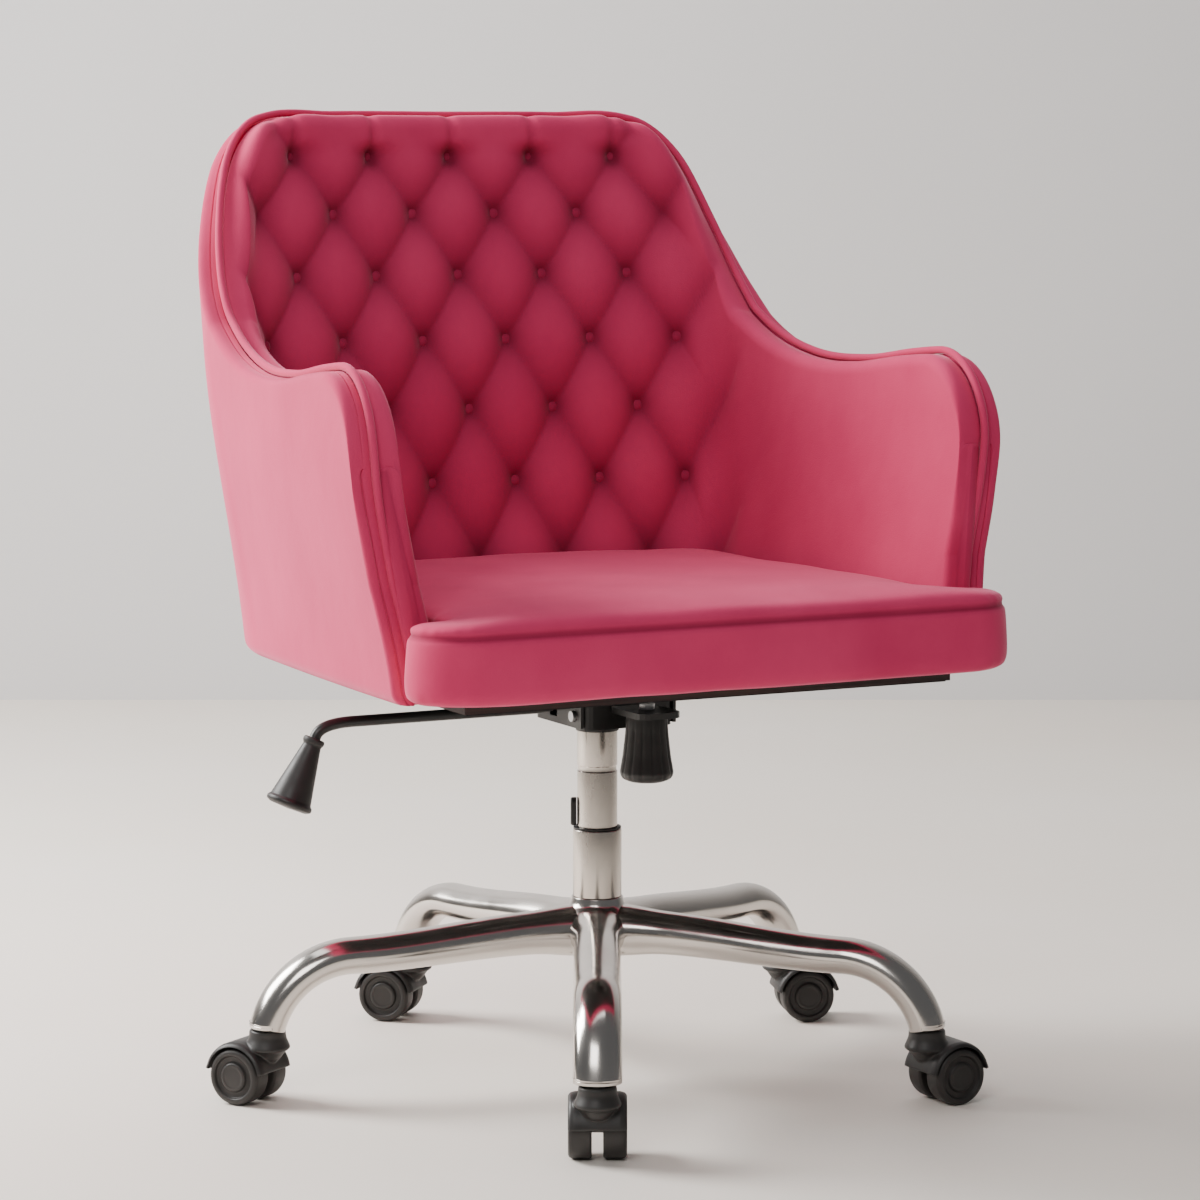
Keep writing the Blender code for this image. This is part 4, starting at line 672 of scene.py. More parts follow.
def shell_frame_at(along, z):
    """Where the outer face is at a place round the U, the way in from it, and the way ahead."""
    share = abs(along)
    hand = 1 if along >= 0 else -1
    step = 0.002
    here = outline_point(share, z)
    ahead = outline_point(min(share + step, 1.0), z) - outline_point(max(share - step, 0.0), z)
    if share < step:
        ahead = Vector((1.0, 0.0))
    ahead.normalize()
    return (column + Vector((here.x * hand, here.y, z)), Vector((ahead.y * hand, -ahead.x, 0)),
            Vector((ahead.x * hand, ahead.y, 0)))


def shell_point(along, z, depth):
    place, inward, ahead = shell_frame_at(along, z)
    return place + inward * depth


def node_group(name, *sockets):
    """An empty geometry tree with its named inputs."""
    tree = bpy.data.node_groups.new(name, "GeometryNodeTree")
    tree.interface.new_socket("Geometry", in_out="INPUT", socket_type="NodeSocketGeometry")
    for label, kind in sockets:
        tree.interface.new_socket(label, in_out="INPUT", socket_type=f"NodeSocket{kind}")
    tree.interface.new_socket("Geometry", in_out="OUTPUT", socket_type="NodeSocketGeometry")
    return tree, tree.nodes.new("NodeGroupInput"), tree.nodes.new("NodeGroupOutput")


def scatter_tree():
    """Sets a copy of one shape on every point, its +Z along the point's facing."""
    tree, start, stop = node_group("set_on_points", ("Shape", "Object"), ("Size", "Float"),
                                   ("Material", "Material"))
    add, link = tree.nodes.new, tree.links.new
    shape, facing = add("GeometryNodeObjectInfo"), add("GeometryNodeInputNamedAttribute")
    align = add("FunctionNodeAlignRotationToVector")
    put, real = add("GeometryNodeInstanceOnPoints"), add("GeometryNodeRealizeInstances")
    dress = add("GeometryNodeSetMaterial")
    facing.data_type = "FLOAT_VECTOR"
    facing.inputs["Name"].default_value = "facing"
    align.axis = "Z"
    link(start.outputs["Shape"], shape.inputs["Object"])
    link(start.outputs["Geometry"], put.inputs["Points"])
    link(shape.outputs["Geometry"], put.inputs["Instance"])
    link(facing.outputs[0], align.inputs["Vector"])
    link(align.outputs["Rotation"], put.inputs["Rotation"])
    link(start.outputs["Size"], put.inputs["Scale"])
    link(put.outputs["Instances"], real.inputs["Geometry"])
    link(real.outputs["Geometry"], dress.inputs["Geometry"])
    link(start.outputs["Material"], dress.inputs["Material"])
    link(dress.outputs["Geometry"], stop.inputs["Geometry"])
    return tree


def grown(name, item, tree, values, body, stands_for=(), sharp=35.0):
    """Runs a geometry tree on a helper object and keeps the result as a plain piece."""
    growth = item.modifiers.new("growth", "NODES")
    growth.node_group = tree
    for socket in tree.interface.items_tree:
        if socket.in_out == "INPUT" and socket.name in values:
            growth[socket.identifier] = values[socket.name]
    mesh = evaluated(item)
    mesh.name = name
    new = bpy.data.objects.new(name, smooth_mesh(mesh, sharp))
    bpy.context.scene.collection.objects.link(new)
    return settled(new, body, stands_for)


def set_out(name, shape, spots, size, material, body, stands_for=(), sharp=35.0):
    """Copies of a small bmesh on a list of (place, facing) spots, as one piece."""
    mesh = bpy.data.meshes.new("spots")
    mesh.from_pydata([tuple(place) for place, facing in spots], [], [])
    facings = mesh.attributes.new("facing", "FLOAT_VECTOR", "POINT")
    for data, (place, facing) in zip(facings.data, spots):
        data.vector = facing
    points = bpy.data.objects.new("spots", mesh)
    bpy.context.scene.collection.objects.link(points)
    one = helper(shape)
    values = {"Shape": one, "Size": size, "Material": material}
    new = grown(name, points, scatter, values, body, stands_for, sharp)
    bpy.data.objects.remove(one, do_unlink=True)
    return new


def plywood_sheet():
    """Plywood coloured near black, with its plies showing as bands at the edge."""
    ply = finish("near_black_ply", (0.020, 0.016, 0.014), 0.65)
    plies = mottle(ply, 9.0, (1.0, 9.0, 40.0), 5.0)
    spread(ply, plies, "Base Color", (0.012, 0.010, 0.009), (0.034, 0.026, 0.021))
    emboss(ply, mottle(ply, 60.0, (1.0, 12.0, 1.0), 3.0), 0.0002, 0.3)
    return ply


def dust_cloth():
    """Black spun-bonded cloth, dimpled where it was pressed."""
    cloth = finish("dust_cloth", (0.010, 0.010, 0.011), 0.95)
    fibres = mottle(cloth, 700.0, detail=2.0)
    spread(cloth, fibres, "Base Color", (0.007, 0.007, 0.008), (0.020, 0.020, 0.021))
    emboss(cloth, mottle(cloth, 420.0, detail=1.0), 0.0004, 0.6)
    return cloth


scatter = scatter_tree()
lining = dust_cloth()
refinished(plywood_sheet(), "seat_board")
refinished(lining, "seat_base_cover")
refinished(powder, "seat_plate")

screw_names = [f"seat_screw_{number}" for number in range(1, 5)]
screw_spots = []
for name in screw_names:
    low, high = (Vector(corner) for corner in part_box(name))
    screw_spots.append((Vector(((low.x + high.x) / 2, (low.y + high.y) / 2, low.z)), Vector((0, 0, -1))))
screw_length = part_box("seat_screw_1")[1][2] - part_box("seat_screw_1")[0][2]
screw = bmesh.new()
screw_outline = [(0.0, -0.0012), (0.0012, -0.0011), (0.0016, -0.0001), (0.0040, -0.0002), (0.0064, -0.0016),
                 (0.0065, -0.0029), (0.0030, -0.0030), (0.0030, -screw_length), (0.0, -screw_length)]
turned(screw, screw_outline, Matrix.Identity(4), 24)
set_out("seat_screws", screw, screw_spots, 1.0, zinc, "seat", screw_names)

STAPLE_PITCH = 0.028
cover_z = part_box("seat_base_cover")[0][2]
staple = bmesh.new()
for end, low in ((-0.0052, -0.002), (0.0052, -0.002)):
    bmesh.ops.create_cube(staple, size=1.0, matrix=Matrix.Translation((end, 0, low / 2 + 0.0002))
                          @ Matrix.Diagonal((0.0007, 0.0009, 0.0024, 1)))
bmesh.ops.create_cube(staple, size=1.0, matrix=Matrix.Translation((0, 0, 0.0004))
                      @ Matrix.Diagonal((0.0110, 0.0009, 0.0006, 1)))
staple_spots = []
walked = STAPLE_PITCH
last = None
for step in range(-460, 461):
    spot = shell_point(step / 500, cover_z, BOARD_INSET + 0.0085)
    spot.z = cover_z - 0.0001
    walked += (spot - last).length if last else 0.0
    last = spot
    if walked >= STAPLE_PITCH:
        staple_spots.append((spot, Vector((0, 0, -1))))
        walked = 0.0
set_out("cover_staples", staple, staple_spots, 1.0, zinc, "seat")

# ---- Upholstered shell -----------------------------------------------------------------------------
# A moulded tub wrapped in rose velvet: the cover runs over the rim and down the arms' fronts, with a
# stitched seam just inside its edge, and is stapled to the flange underneath.
SHELL_WALL = 0.0205
FLANGE_DEPTH = 0.068
FLANGE_THICKNESS = 0.003
PIPING_RADIUS = 0.0037
EDGE_DROP = 2 * PIPING_RADIUS + 0.0003
SHELL_FOOT_RADIUS = 0.012
SEAM_DEPTH = 0.0095           # from the outer face in to the cover's seam
SEAM_DIP = 0.0022
RIM_ROUND = 0.0075
FOAM_SWELL = 0.0045           # how far the padding rounds an arm's front
ARM_TOP = shell_bottom + 0.2918
ARM_FRONT_SHOULDER = ARM_TOP - 0.080


def rose_velvet():
    """Short-pile velvet: the nap lies in soft patches and shines pale at the edges; painted shade darkens it
    in folds, seams and at buttons.
    """
    velvet = finish("rose_velvet", (0.62, 0.055, 0.15), 0.85, Sheen_Weight=0.50, Sheen_Roughness=0.36,
                    Sheen_Tint=(1.0, 0.50, 0.64, 1.0), Specular_IOR_Level=0.15)
    tree = velvet.node_tree
    shade = spread(velvet, mottle(velvet, 11.0, (1, 1, 0.7), 5.0), "Base Color",
                   (0.57, 0.036, 0.122), (0.66, 0.050, 0.150), (0.30, 0.70))
    # Painted shade: a per-point attribute mixes the base colour towards a dark rose in folds, seams and at
    # buttons.
    painted_shade = tree.nodes.new("ShaderNodeAttribute")
    painted_shade.attribute_name = "painted_shade"
    shade_mix = tree.nodes.new("ShaderNodeMix")
    shade_mix.data_type = "RGBA"
    shade_mix.inputs["B"].default_value = (0.17, 0.007, 0.030, 1.0)
    tree.links.new(painted_shade.outputs["Fac"], shade_mix.inputs["Factor"])
    tree.links.new(shade, shade_mix.inputs["A"])
    tree.links.new(shade_mix.outputs["Result"], tree.nodes["Principled BSDF"].inputs["Base Color"])
    emboss(velvet, mottle(velvet, 45.0, detail=3.0), 0.0012, 0.30)
    emboss(velvet, mottle(velvet, 900.0, detail=2.0), 0.0004, 0.50)
    return velvet


def smooth_table(table, at):
    """A smooth curve through (position, value) pairs."""
    for i in range(len(table) - 1):
        (a, low), (b, high) = table[i], table[i + 1]
        if at <= b:
            before, after = table[max(i - 1, 0)], table[min(i + 2, len(table) - 1)]
            start = (high - before[1]) / (b - before[0]) * (b - a)
            stop = (after[1] - low) / (after[0] - a) * (b - a)
            t = (at - a) / (b - a)
            return ((2 * t ** 3 - 3 * t ** 2 + 1) * low + (t ** 3 - 2 * t ** 2 + t) * start
                    + (3 * t ** 2 - 2 * t ** 3) * high + (t ** 3 - t ** 2) * stop)
    return table[-1][1]


def rim_height(share):
    """Height of the shell's top edge along the half outline, from the back's middle to the arm's front."""
    rise = back_top - ARM_TOP
    table = [(0.0, back_top), (0.22, back_top), (0.37, ARM_TOP + rise * 0.985), (0.44, ARM_TOP + rise * 0.83),
             (0.50, ARM_TOP + rise * 0.54), (0.56, ARM_TOP + rise * 0.26), (0.63, ARM_TOP + rise * 0.05),
             (0.71, ARM_TOP - 0.011), (0.80, ARM_TOP - 0.013), (0.88, ARM_TOP - 0.004),
             (FRONT_SHARE, ARM_TOP), (1.0, ARM_TOP)]
    if share <= FRONT_SHARE:
        return smooth_table(table, share)
    turn = (share - FRONT_SHARE) / (1 - FRONT_SHARE)
    return ARM_FRONT_SHOULDER + (ARM_TOP - ARM_FRONT_SHOULDER) * math.sqrt(max(1 - turn * turn, 0.0))


def front_stations(steps=18):
    return [FRONT_SHARE + (1 - FRONT_SHARE) * math.sin(math.pi / 2 * i / steps) for i in range(1, steps + 1)]


def both_hands(half):
    """Places round the whole U from those of one half, which start at the middle of the back."""
    return [-s for s in reversed(half[1:])] + half


def cover_section(along, rows=34):
    """The outer and the inner line of the cover's upright section, as (depth, height) points."""
    foot = shell_bottom
    low, high = foot + SHELL_FOOT_RADIUS, rim_height(abs(along)) - EDGE_DROP - RIM_ROUND
    turns = [(math.cos(math.pi / 2 * i / 6), math.sin(math.pi / 2 * i / 6)) for i in range(7)]
    outer = [(SHELL_FOOT_RADIUS * (1 - sine), foot + SHELL_FOOT_RADIUS * (1 - cosine))
             for cosine, sine in turns]
    outer += [(0.0, low + (high - low) * i / rows) for i in range(1, rows)]
    outer += [(RIM_ROUND * (1 - cosine), high + RIM_ROUND * sine) for cosine, sine in turns]
    inner = [(SHELL_WALL, z) for depth, z in outer[:-6]]
    inner += [(SHELL_WALL - 0.0025 * (1 - cosine), high + RIM_ROUND * sine) for cosine, sine in turns[1:]]
    return outer, inner


def seam_dip(share):
    """How deep the stitched seam lies at a share of the way in across the wall."""
    return SEAM_DIP * math.exp(-((share - SEAM_DEPTH / SHELL_WALL) / 0.035) ** 2)


# where the cover's columns of points stand across the wall, closer together at the seam
COVER_SHARES = (0.0, 0.05, 0.12, 0.22, 0.32, 0.40, 0.43, 0.455, 0.48, 0.51, 0.60, 0.72, 0.84, 0.93, 1.0)


def front_grid(shape, along):
    """Closes the cover's front with a padded face between its outer and inner lines."""
    outer, inner = cover_section(along)
    grid = []
    for (near, z), (far, _) in zip(outer, inner):
        place, inward, ahead = shell_frame_at(along, z)
        line = []
        for share in COVER_SHARES:
            depth = near + (far - near) * share
            out = FOAM_SWELL * math.sqrt(max(1 - (2 * share - 1) ** 4, 0.0))
            out = out * blend(0, 1, (outer[-1][1] - z) / 0.07) - seam_dip(share)
            line.append(shape.verts.new(place + inward * depth + ahead * out))
        grid.append(line)
    for one, two in zip(grid, grid[1:]):
        for i in range(len(one) - 1):
            shape.faces.new((one[i], one[i + 1], two[i + 1], two[i]))


def cover_mesh():
    shape = bmesh.new()
    half = [BACK_SHARE * i / 22 for i in range(22)]
    half += [BACK_SHARE + (CORNER_SHARE - BACK_SHARE) * i / 34 for i in range(34)]
    half += [CORNER_SHARE + (FRONT_SHARE - CORNER_SHARE) * i / 30 for i in range(31)] + front_stations()
    flange_top = shell_bottom + FLANGE_THICKNESS
    edge = [(0.008, shell_bottom + 0.0004), (FLANGE_DEPTH, shell_bottom), (FLANGE_DEPTH, flange_top),
            (0.008, flange_top)]
    rings, flange = [], []
    for along in both_hands(half):
        outer, inner = cover_section(along)
        last, first = outer[-1], inner[-1]
        top = [(last[0] + (first[0] - last[0]) * share, last[1] - seam_dip(share))
               for share in COVER_SHARES[1:-1]]
        ring = outer + top + list(reversed(inner))
        rings.append([shell_point(along, z, depth) for depth, z in ring])
        flange.append([shell_point(along, z, depth) for depth, z in edge])
    skin(shape, rings, capped=False)
    for along in (-1.0, 1.0):
        front_grid(shape, along)
    skin(shape, flange)
    return shape


velvet = rose_velvet()
piece("shell_cover", cover_mesh(), velvet, "seat", ["shell_frame"], 50)

# ---- Tufted pad ------------------------------------------------------------------------------------
# A foam pad under the same velvet lines the tub.  Covered buttons pull it down in a diamond pattern
# across the back; the folds run between them and out over the rim, and the arms stay smooth.
PAD_BOTTOM = shell_bottom + FLANGE_THICKNESS + 0.0003
PAD_OUTSET = SHELL_WALL + 0.0015
PAD_FACE = PAD_OUTSET + 0.024
TUFT_PITCH = 0.090
TOP_ROW = 0.8687
ROW_DROP = 0.055              # from the top row to the next, and how much more at each row after
ROW_GROWTH = 0.00185
FOLD_DEPTH = 0.0075
BUTTON_DEPTH = 0.0075         # deeper still at a button
BUTTON_DIMPLE = 0.003
PILLOW_RISE = 0.0045
LUMBAR_RISE = 0.006
PAD_ROUND = 0.011
PAD_SWELL = 0.0075            # how far the pad rounds out at an arm's front
BUTTON_RADIUS = 0.0068


def arc_table():
    """Distance round the pad's inner face from the middle of the back, against the place on the U."""
    table = [(0.0, 0.0)]
    last = shell_point(0.0, 0.70, PAD_FACE)
    for step in range(1, 501):
        here = shell_point(step / 500, 0.70, PAD_FACE)
        table.append((table[-1][0] + (here - last).length, step / 500))
        last = here
    return table


def looked_up(table, at, way=0):
    """Straight-line reading of a table sorted on both columns."""
    low, high = 0, len(table) - 1
    while high - low > 1:
        middle = (low + high) // 2
        if table[middle][way] <= at:
            low = middle
        else:
            high = middle
    a, b = table[low], table[high]
    t = (at - a[way]) / (b[way] - a[way])
    return a[1 - way] + (b[1 - way] - a[1 - way]) * min(max(t, 0.0), 1.0)


def tuft_row(z):
    """Which row of buttons a height is at, as a running number from the top."""
    return (-ROW_DROP + math.sqrt(ROW_DROP ** 2 + 4 * ROW_GROWTH * (TOP_ROW - z))) / (2 * ROW_GROWTH)


def row_height(row):
    return TOP_ROW - ROW_DROP * row - ROW_GROWTH * row * row


def pitch_at(z):
    """The buttons stand a little closer together in the upper rows."""
    return TUFT_PITCH * (1 - 0.035 * blend(0, 1, (z - 0.76) / 0.10))


def from_line(value):
    """0 on a whole number, 1 half-way between two."""
    return 2 * abs(value - round(value))


def tuft_buttons():
    places = []
    for row in range(6):
        half = [0, 1, 2] if row % 2 == 0 else [0.5, 1.5] + ([2.5] if row > 1 else [])
        sides = {share * hand for share in half for hand in (-1, 1)}
        places += [(share * pitch_at(row_height(row)), row_height(row)) for share in sorted(sides)]
    return places


def tufting(arc, z, buttons):
    """How far the pad stands in from its nominal face at a place, and how deep in a fold it is, which sets
    the painted shade there.
    """
    row = tuft_row(z)
    pitch = pitch_at(z)
    rising = from_line(arc / pitch + row / 2)
    falling = from_line(arc / pitch - row / 2)
    outer_fade, inner_fade = blend(1, 0, (abs(arc) - 0.255) / 0.10), blend(1, 0, (abs(arc) - 0.215) / 0.06)
    right = outer_fade if arc > 0 else inner_fade
    left = inner_fade if arc > 0 else outer_fade
    above = blend(0, 1, -row / 0.45)
    middle = blend(1, 0, (abs(arc) - 0.10) / 0.06)
    right *= 1 - above * (middle if arc > 0 else 1)
    left *= 1 - above * (middle if arc < 0 else 1)
    rising = 1 - right * (1 - rising)
    falling = 1 - left * (1 - falling)
    puff = (1 - (1 - rising) ** 2.2) * (1 - (1 - falling) ** 2.2)
    saddle = 1 - (1 - rising) ** 2 * (1 - falling) ** 2
    height = FOLD_DEPTH * (puff - 1) + BUTTON_DEPTH * (saddle - 1)
    if row < 0.3 and abs(arc) < 0.21:
        pleat = math.exp(-(from_line(arc / pitch) * pitch / 2 / 0.0055) ** 2)
        height -= 0.0042 * pleat * blend(0, 1, (0.3 - row) / 0.3) * (1 - blend(0, 0.5, -row))
    for place, level in buttons:
        away = (arc - place) ** 2 + (z - level) ** 2
        if away < 0.0009:
            height -= BUTTON_DIMPLE * math.exp(-away / 0.009 ** 2)
    tufted = blend(1, 0, (abs(arc) - 0.24) / 0.10)
    rise = PILLOW_RISE * tufted + LUMBAR_RISE * math.exp(-((z - 0.66) / 0.09) ** 2) * tufted
    rise *= blend(0, 1, (z - PAD_BOTTOM) / 0.09)
    ripple = 0.0012 * noise.noise(Vector((arc * 9, z * 9, 3.1)))
    return rise + height + ripple, min(max(-height / (FOLD_DEPTH + BUTTON_DEPTH), 0.0), 1.0)


def pad_columns():
    """Places round the U, close together where the pad is buttoned."""
    arcs = [0.0024 * i for i in range(126)]
    limit = looked_up(arc_places, FRONT_SHARE, 1)
    steps = int((limit - arcs[-1]) / 0.006)
    arcs += [arcs[-1] + (limit - arcs[-1]) * i / steps for i in range(1, steps + 1)]
    return both_hands([looked_up(arc_places, arc) for arc in arcs] + front_stations(14))


def pad_mesh(rows=168):
    shape = bmesh.new()
    # Painted shade: each point's darkening of the velvet, deepest in the tufting folds and in the joint under
    # the rim.
    painted_shade = shape.verts.layers.float.new("painted_shade")
    rings, ring_shades = [], []
    columns = pad_columns()
    ends = {columns[0]: -1, columns[-1]: 1}
    for along in columns:
        arc = looked_up(arc_places, abs(along), 1) * (1 if along >= 0 else -1)
        near_buttons = [b for b in buttons if abs(b[0] - arc) < 0.03]
        top = rim_height(abs(along)) - EDGE_DROP
        high = top - PAD_ROUND
        section, shade_amounts = [], []
        for i in range(rows + 1):
            z = PAD_BOTTOM + (high - PAD_BOTTOM) * i / rows
            rise, amount = tufting(arc, z, near_buttons)
            section.append((PAD_FACE + rise, z))
            shade_amounts.append(amount * 0.85)
        rise, amount = tufting(arc, high, near_buttons)
        for i in range(1, 9):
            turn = math.pi / 2 * i / 8
            flat = PAD_FACE + rise - PAD_ROUND * (1 - math.cos(turn)) * 0.9
            section.append((flat, high + PAD_ROUND * math.sin(turn) + (rise * 0.5 + 0.001) * math.sin(turn)))
            shade_amounts.append(amount * 0.85 * math.cos(turn))
        section += [(PAD_OUTSET + 0.004, top), (PAD_OUTSET + 0.001, top - 0.003), (PAD_OUTSET, PAD_BOTTOM)]
        # Painted shade in the joint just below the pad's top edge.
        shade_amounts += [0.0, 0.3, 0.0]
        rounds = [0.0]
        if along in ends:
            rounds = [math.pi / 2 * i / 6 for i in range(7)]
        made = []
        for turn in rounds:
            ring = []
            for depth, z in section:
                place, inward, ahead = shell_frame_at(along, z)
                middle = (PAD_OUTSET + PAD_FACE) / 2
                pinched = middle + (depth - middle) * (0.18 + 0.82 * math.cos(turn))
                swell = PAD_SWELL * blend(0.15, 1, (top - z) / 0.08)
                ring.append(place + inward * pinched + ahead * swell * math.sin(turn))
            made.append(ring)
        if ends.get(along) == -1:
            made.reverse()
        rings += made
        ring_shades += [shade_amounts] * len(made)
    for loop, shade_amounts in zip(skin(shape, rings), ring_shades):
        for vertex, amount in zip(loop, shade_amounts):
            vertex[painted_shade] = amount
    return shape


arc_places = arc_table()
buttons = tuft_buttons()
piece("tufted_pad", pad_mesh(), velvet, "seat", ["back_pad"], 60)

button_spots = []
for arc, z in buttons:
    along = looked_up(arc_places, abs(arc)) * (1 if arc >= 0 else -1)
    rise, amount = tufting(arc, z, [(arc, z)])
    place, inward, ahead = shell_frame_at(along, z)
    lean = (shell_point(along, z + 0.01, 0) - shell_point(along, z - 0.01, 0)).normalized()
    facing = inward - lean * inward.dot(lean)
    button_spots.append((place + inward * (PAD_FACE + rise - 0.0004), facing.normalized()))
button = bmesh.new()
button_outline = [(0.0, 0.0044), (0.45 * BUTTON_RADIUS, 0.0041), (0.78 * BUTTON_RADIUS, 0.0032),
                  (0.96 * BUTTON_RADIUS, 0.0016), (BUTTON_RADIUS, 0.0002), (0.9 * BUTTON_RADIUS, -0.0012),
                  (0.0, -0.0016)]
turned(button, button_outline, Matrix.Identity(4), 28)
bmesh.ops.remove_doubles(button, verts=button.verts, dist=1e-6)
# Painted shade: the buttons are darkened all over, as if sunk deep in their dimples.
button_painted_shade = button.verts.layers.float.new("painted_shade")
for vertex in button.verts:
    vertex[button_painted_shade] = 0.55
set_out("tuft_buttons", button, button_spots, 1.0, velvet, "seat", (), 60)

# ---- Welt ------------------------------------------------------------------------------------------
# A cord in a bias strip of the velvet fills the joint between cover and pad, all round the rim and
# down both arms' fronts.
PIPING_FOOT = 0.012


def welt_tree():
    """A round cord along a line of edges."""
    tree, start, stop = node_group("cord_along", ("Radius", "Float"), ("Material", "Material"))
    add, link = tree.nodes.new, tree.links.new
    line, ring = add("GeometryNodeMeshToCurve"), add("GeometryNodeCurvePrimitiveCircle")
    tube = add("GeometryNodeCurveToMesh")
    real, dress = add("GeometryNodeRealizeInstances"), add("GeometryNodeSetMaterial")
    ring.inputs["Resolution"].default_value = 14
    tube.inputs["Fill Caps"].default_value = True
    link(start.outputs["Geometry"], line.inputs["Mesh"])
    link(start.outputs["Radius"], ring.inputs["Radius"])
    link(line.outputs["Curve"], tube.inputs["Curve"])
    link(ring.outputs["Curve"], tube.inputs["Profile Curve"])
    link(tube.outputs["Mesh"], real.inputs["Geometry"])
    link(real.outputs["Geometry"], dress.inputs["Geometry"])
    link(start.outputs["Material"], dress.inputs["Material"])
    link(dress.outputs["Geometry"], stop.inputs["Geometry"])
    return tree


def welt_line():
    half = [FRONT_SHARE * i / 110 for i in range(111)] + front_stations(20)
    rim = [(s, rim_height(abs(s)) - EDGE_DROP) for s in both_hands(half)]
    foot = shell_bottom + PIPING_FOOT
    fronts = [foot + (ARM_FRONT_SHOULDER - EDGE_DROP - foot) * i / 20 for i in range(20)]
    line = [(-1.0, z) for z in fronts] + rim + [(1.0, z) for z in reversed(fronts)]
    points = [shell_point(s, z, (SHELL_WALL + PAD_OUTSET) / 2) for s, z in line]
    path = []
    for i, (s, z) in enumerate(line):
        ahead = points[min(i + 1, len(points) - 1)] - points[max(i - 1, 0)]
        inward = shell_frame_at(s, z)[1]
        outward = inward.cross(ahead).normalized()
        path.append(points[i] + outward * (PIPING_RADIUS + 0.0003))
    return path


welt_path = welt_line()
welt_mesh = bpy.data.meshes.new("welt_line")
welt_mesh.from_pydata([tuple(p) for p in welt_path], [(i, i + 1) for i in range(len(welt_path) - 1)], [])
welt_helper = bpy.data.objects.new("welt_line", welt_mesh)
bpy.context.scene.collection.objects.link(welt_helper)
grown("welt", welt_helper, welt_tree(), {"Radius": PIPING_RADIUS, "Material": velvet}, "seat",
      ["shell_piping"], 60)

# ---- Seat cushion ----------------------------------------------------------------------------------
# A loose foam cushion in a velvet case with a closed seam below its top edge.  Its ears reach in
# front of the arms.  The case is blown up against the foam's shape so that it fills and crowns.
CUSHION_CORNER = 0.055
EAR_CORNER = 0.014
SEAM_DROP = 0.017
CUSHION_GRAIN = 0.0065
cushion_low, cushion_high = (Vector(corner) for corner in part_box("seat_cushion"))


def corner_points(half_width, y, radius, start, steps):
    """An outside corner's arc, running clockwise from the start angle."""
    centre = Vector((half_width - radius, y - radius if start > 0 else y + radius))
    angles = [start - math.pi / 2 * i / steps for i in range(steps + 1)]
    return [(centre.x + radius * math.cos(a), centre.y + radius * math.sin(a)) for a in angles]


def cushion_outline():
    """A T in plan, drawn round the column: wide ears in front of the arms, a body between them."""
    inset = PAD_FACE + 0.001
    ear_back = ARM_FRONT_Y - ARM_FRONT_SLANT - EDGE_DROP - 0.003
    half_width = (cushion_high.x - cushion_low.x) / 2
    front = cushion_low.y - column.y
    body = [shell_point(BACK_SHARE * i / 8, PAD_BOTTOM, inset) - column for i in range(8)]
    body += [shell_point(BACK_SHARE + (1 - BACK_SHARE) * i / 24, PAD_BOTTOM, inset) - column
             for i in range(25)]
    right = [(p.x, p.y) for p in body if p.y > ear_back + 0.004]
    right.append((right[-1][0], ear_back))
    right += corner_points(half_width, ear_back, EAR_CORNER, math.pi / 2, 6)
    right += corner_points(half_width, front, CUSHION_CORNER, 0.0, 12)
    return [(-x, y) for x, y in reversed(right[1:])] + right


def cushion_blank():
    shape = bmesh.new()
    outline = cushion_outline()
    heights = (cushion_low.z, cushion_high.z - 0.004)
    rings = [[Vector((x, y, z)) + column for x, y in outline] for z in heights]
    skin(shape, rings)
    item = helper(shape)
    grain = item.modifiers.new("grain", "REMESH")
    grain.mode = "VOXEL"
    grain.voxel_size = CUSHION_GRAIN
    ease = item.modifiers.new("ease", "SMOOTH")
    ease.factor = 0.5
    ease.iterations = 16
    return evaluated(item)


def blown_up(mesh, frames=20):
    """The case after a short run of cloth under pressure, without weight."""
    item = bpy.data.objects.new("case", mesh)
    bpy.context.scene.collection.objects.link(item)
    pins = item.vertex_groups.new(name="pins")
    pins.add([v.index for v in mesh.vertices if v.co.z < cushion_low.z + 0.006], 1.0, "REPLACE")
    cloth = item.modifiers.new("cloth", "CLOTH")
    cloth.settings.use_pressure = True
    cloth.settings.uniform_pressure_force = 4.0
    cloth.settings.vertex_group_mass = "pins"
    cloth.settings.tension_stiffness = 40.0
    cloth.settings.compression_stiffness = 40.0
    cloth.settings.bending_stiffness = 2.0
    cloth.settings.effector_weights.gravity = 0.0
    cloth.collision_settings.use_collision = False
    scene = bpy.context.scene
    scene.frame_start, scene.frame_end = 1, frames
    for frame_number in range(1, frames + 1):
        scene.frame_set(frame_number)
    done = evaluated(item)
    scene.frame_set(1)
    return done


def evened(mesh, moves, rounds=60):
    """The moves of a mesh's points with their small wrinkles averaged away."""
    ends = numpy.array([edge.vertices[:] for edge in mesh.edges])
    moves = numpy.array([tuple(move) for move in moves])
    joined = numpy.bincount(ends.ravel(), minlength=len(moves))[:, None]
    for _ in range(rounds):
        total = numpy.zeros_like(moves)
        numpy.add.at(total, ends[:, 0], moves[ends[:, 1]])
        numpy.add.at(total, ends[:, 1], moves[ends[:, 0]])
        moves = 0.4 * moves + 0.6 * total / joined
    return moves


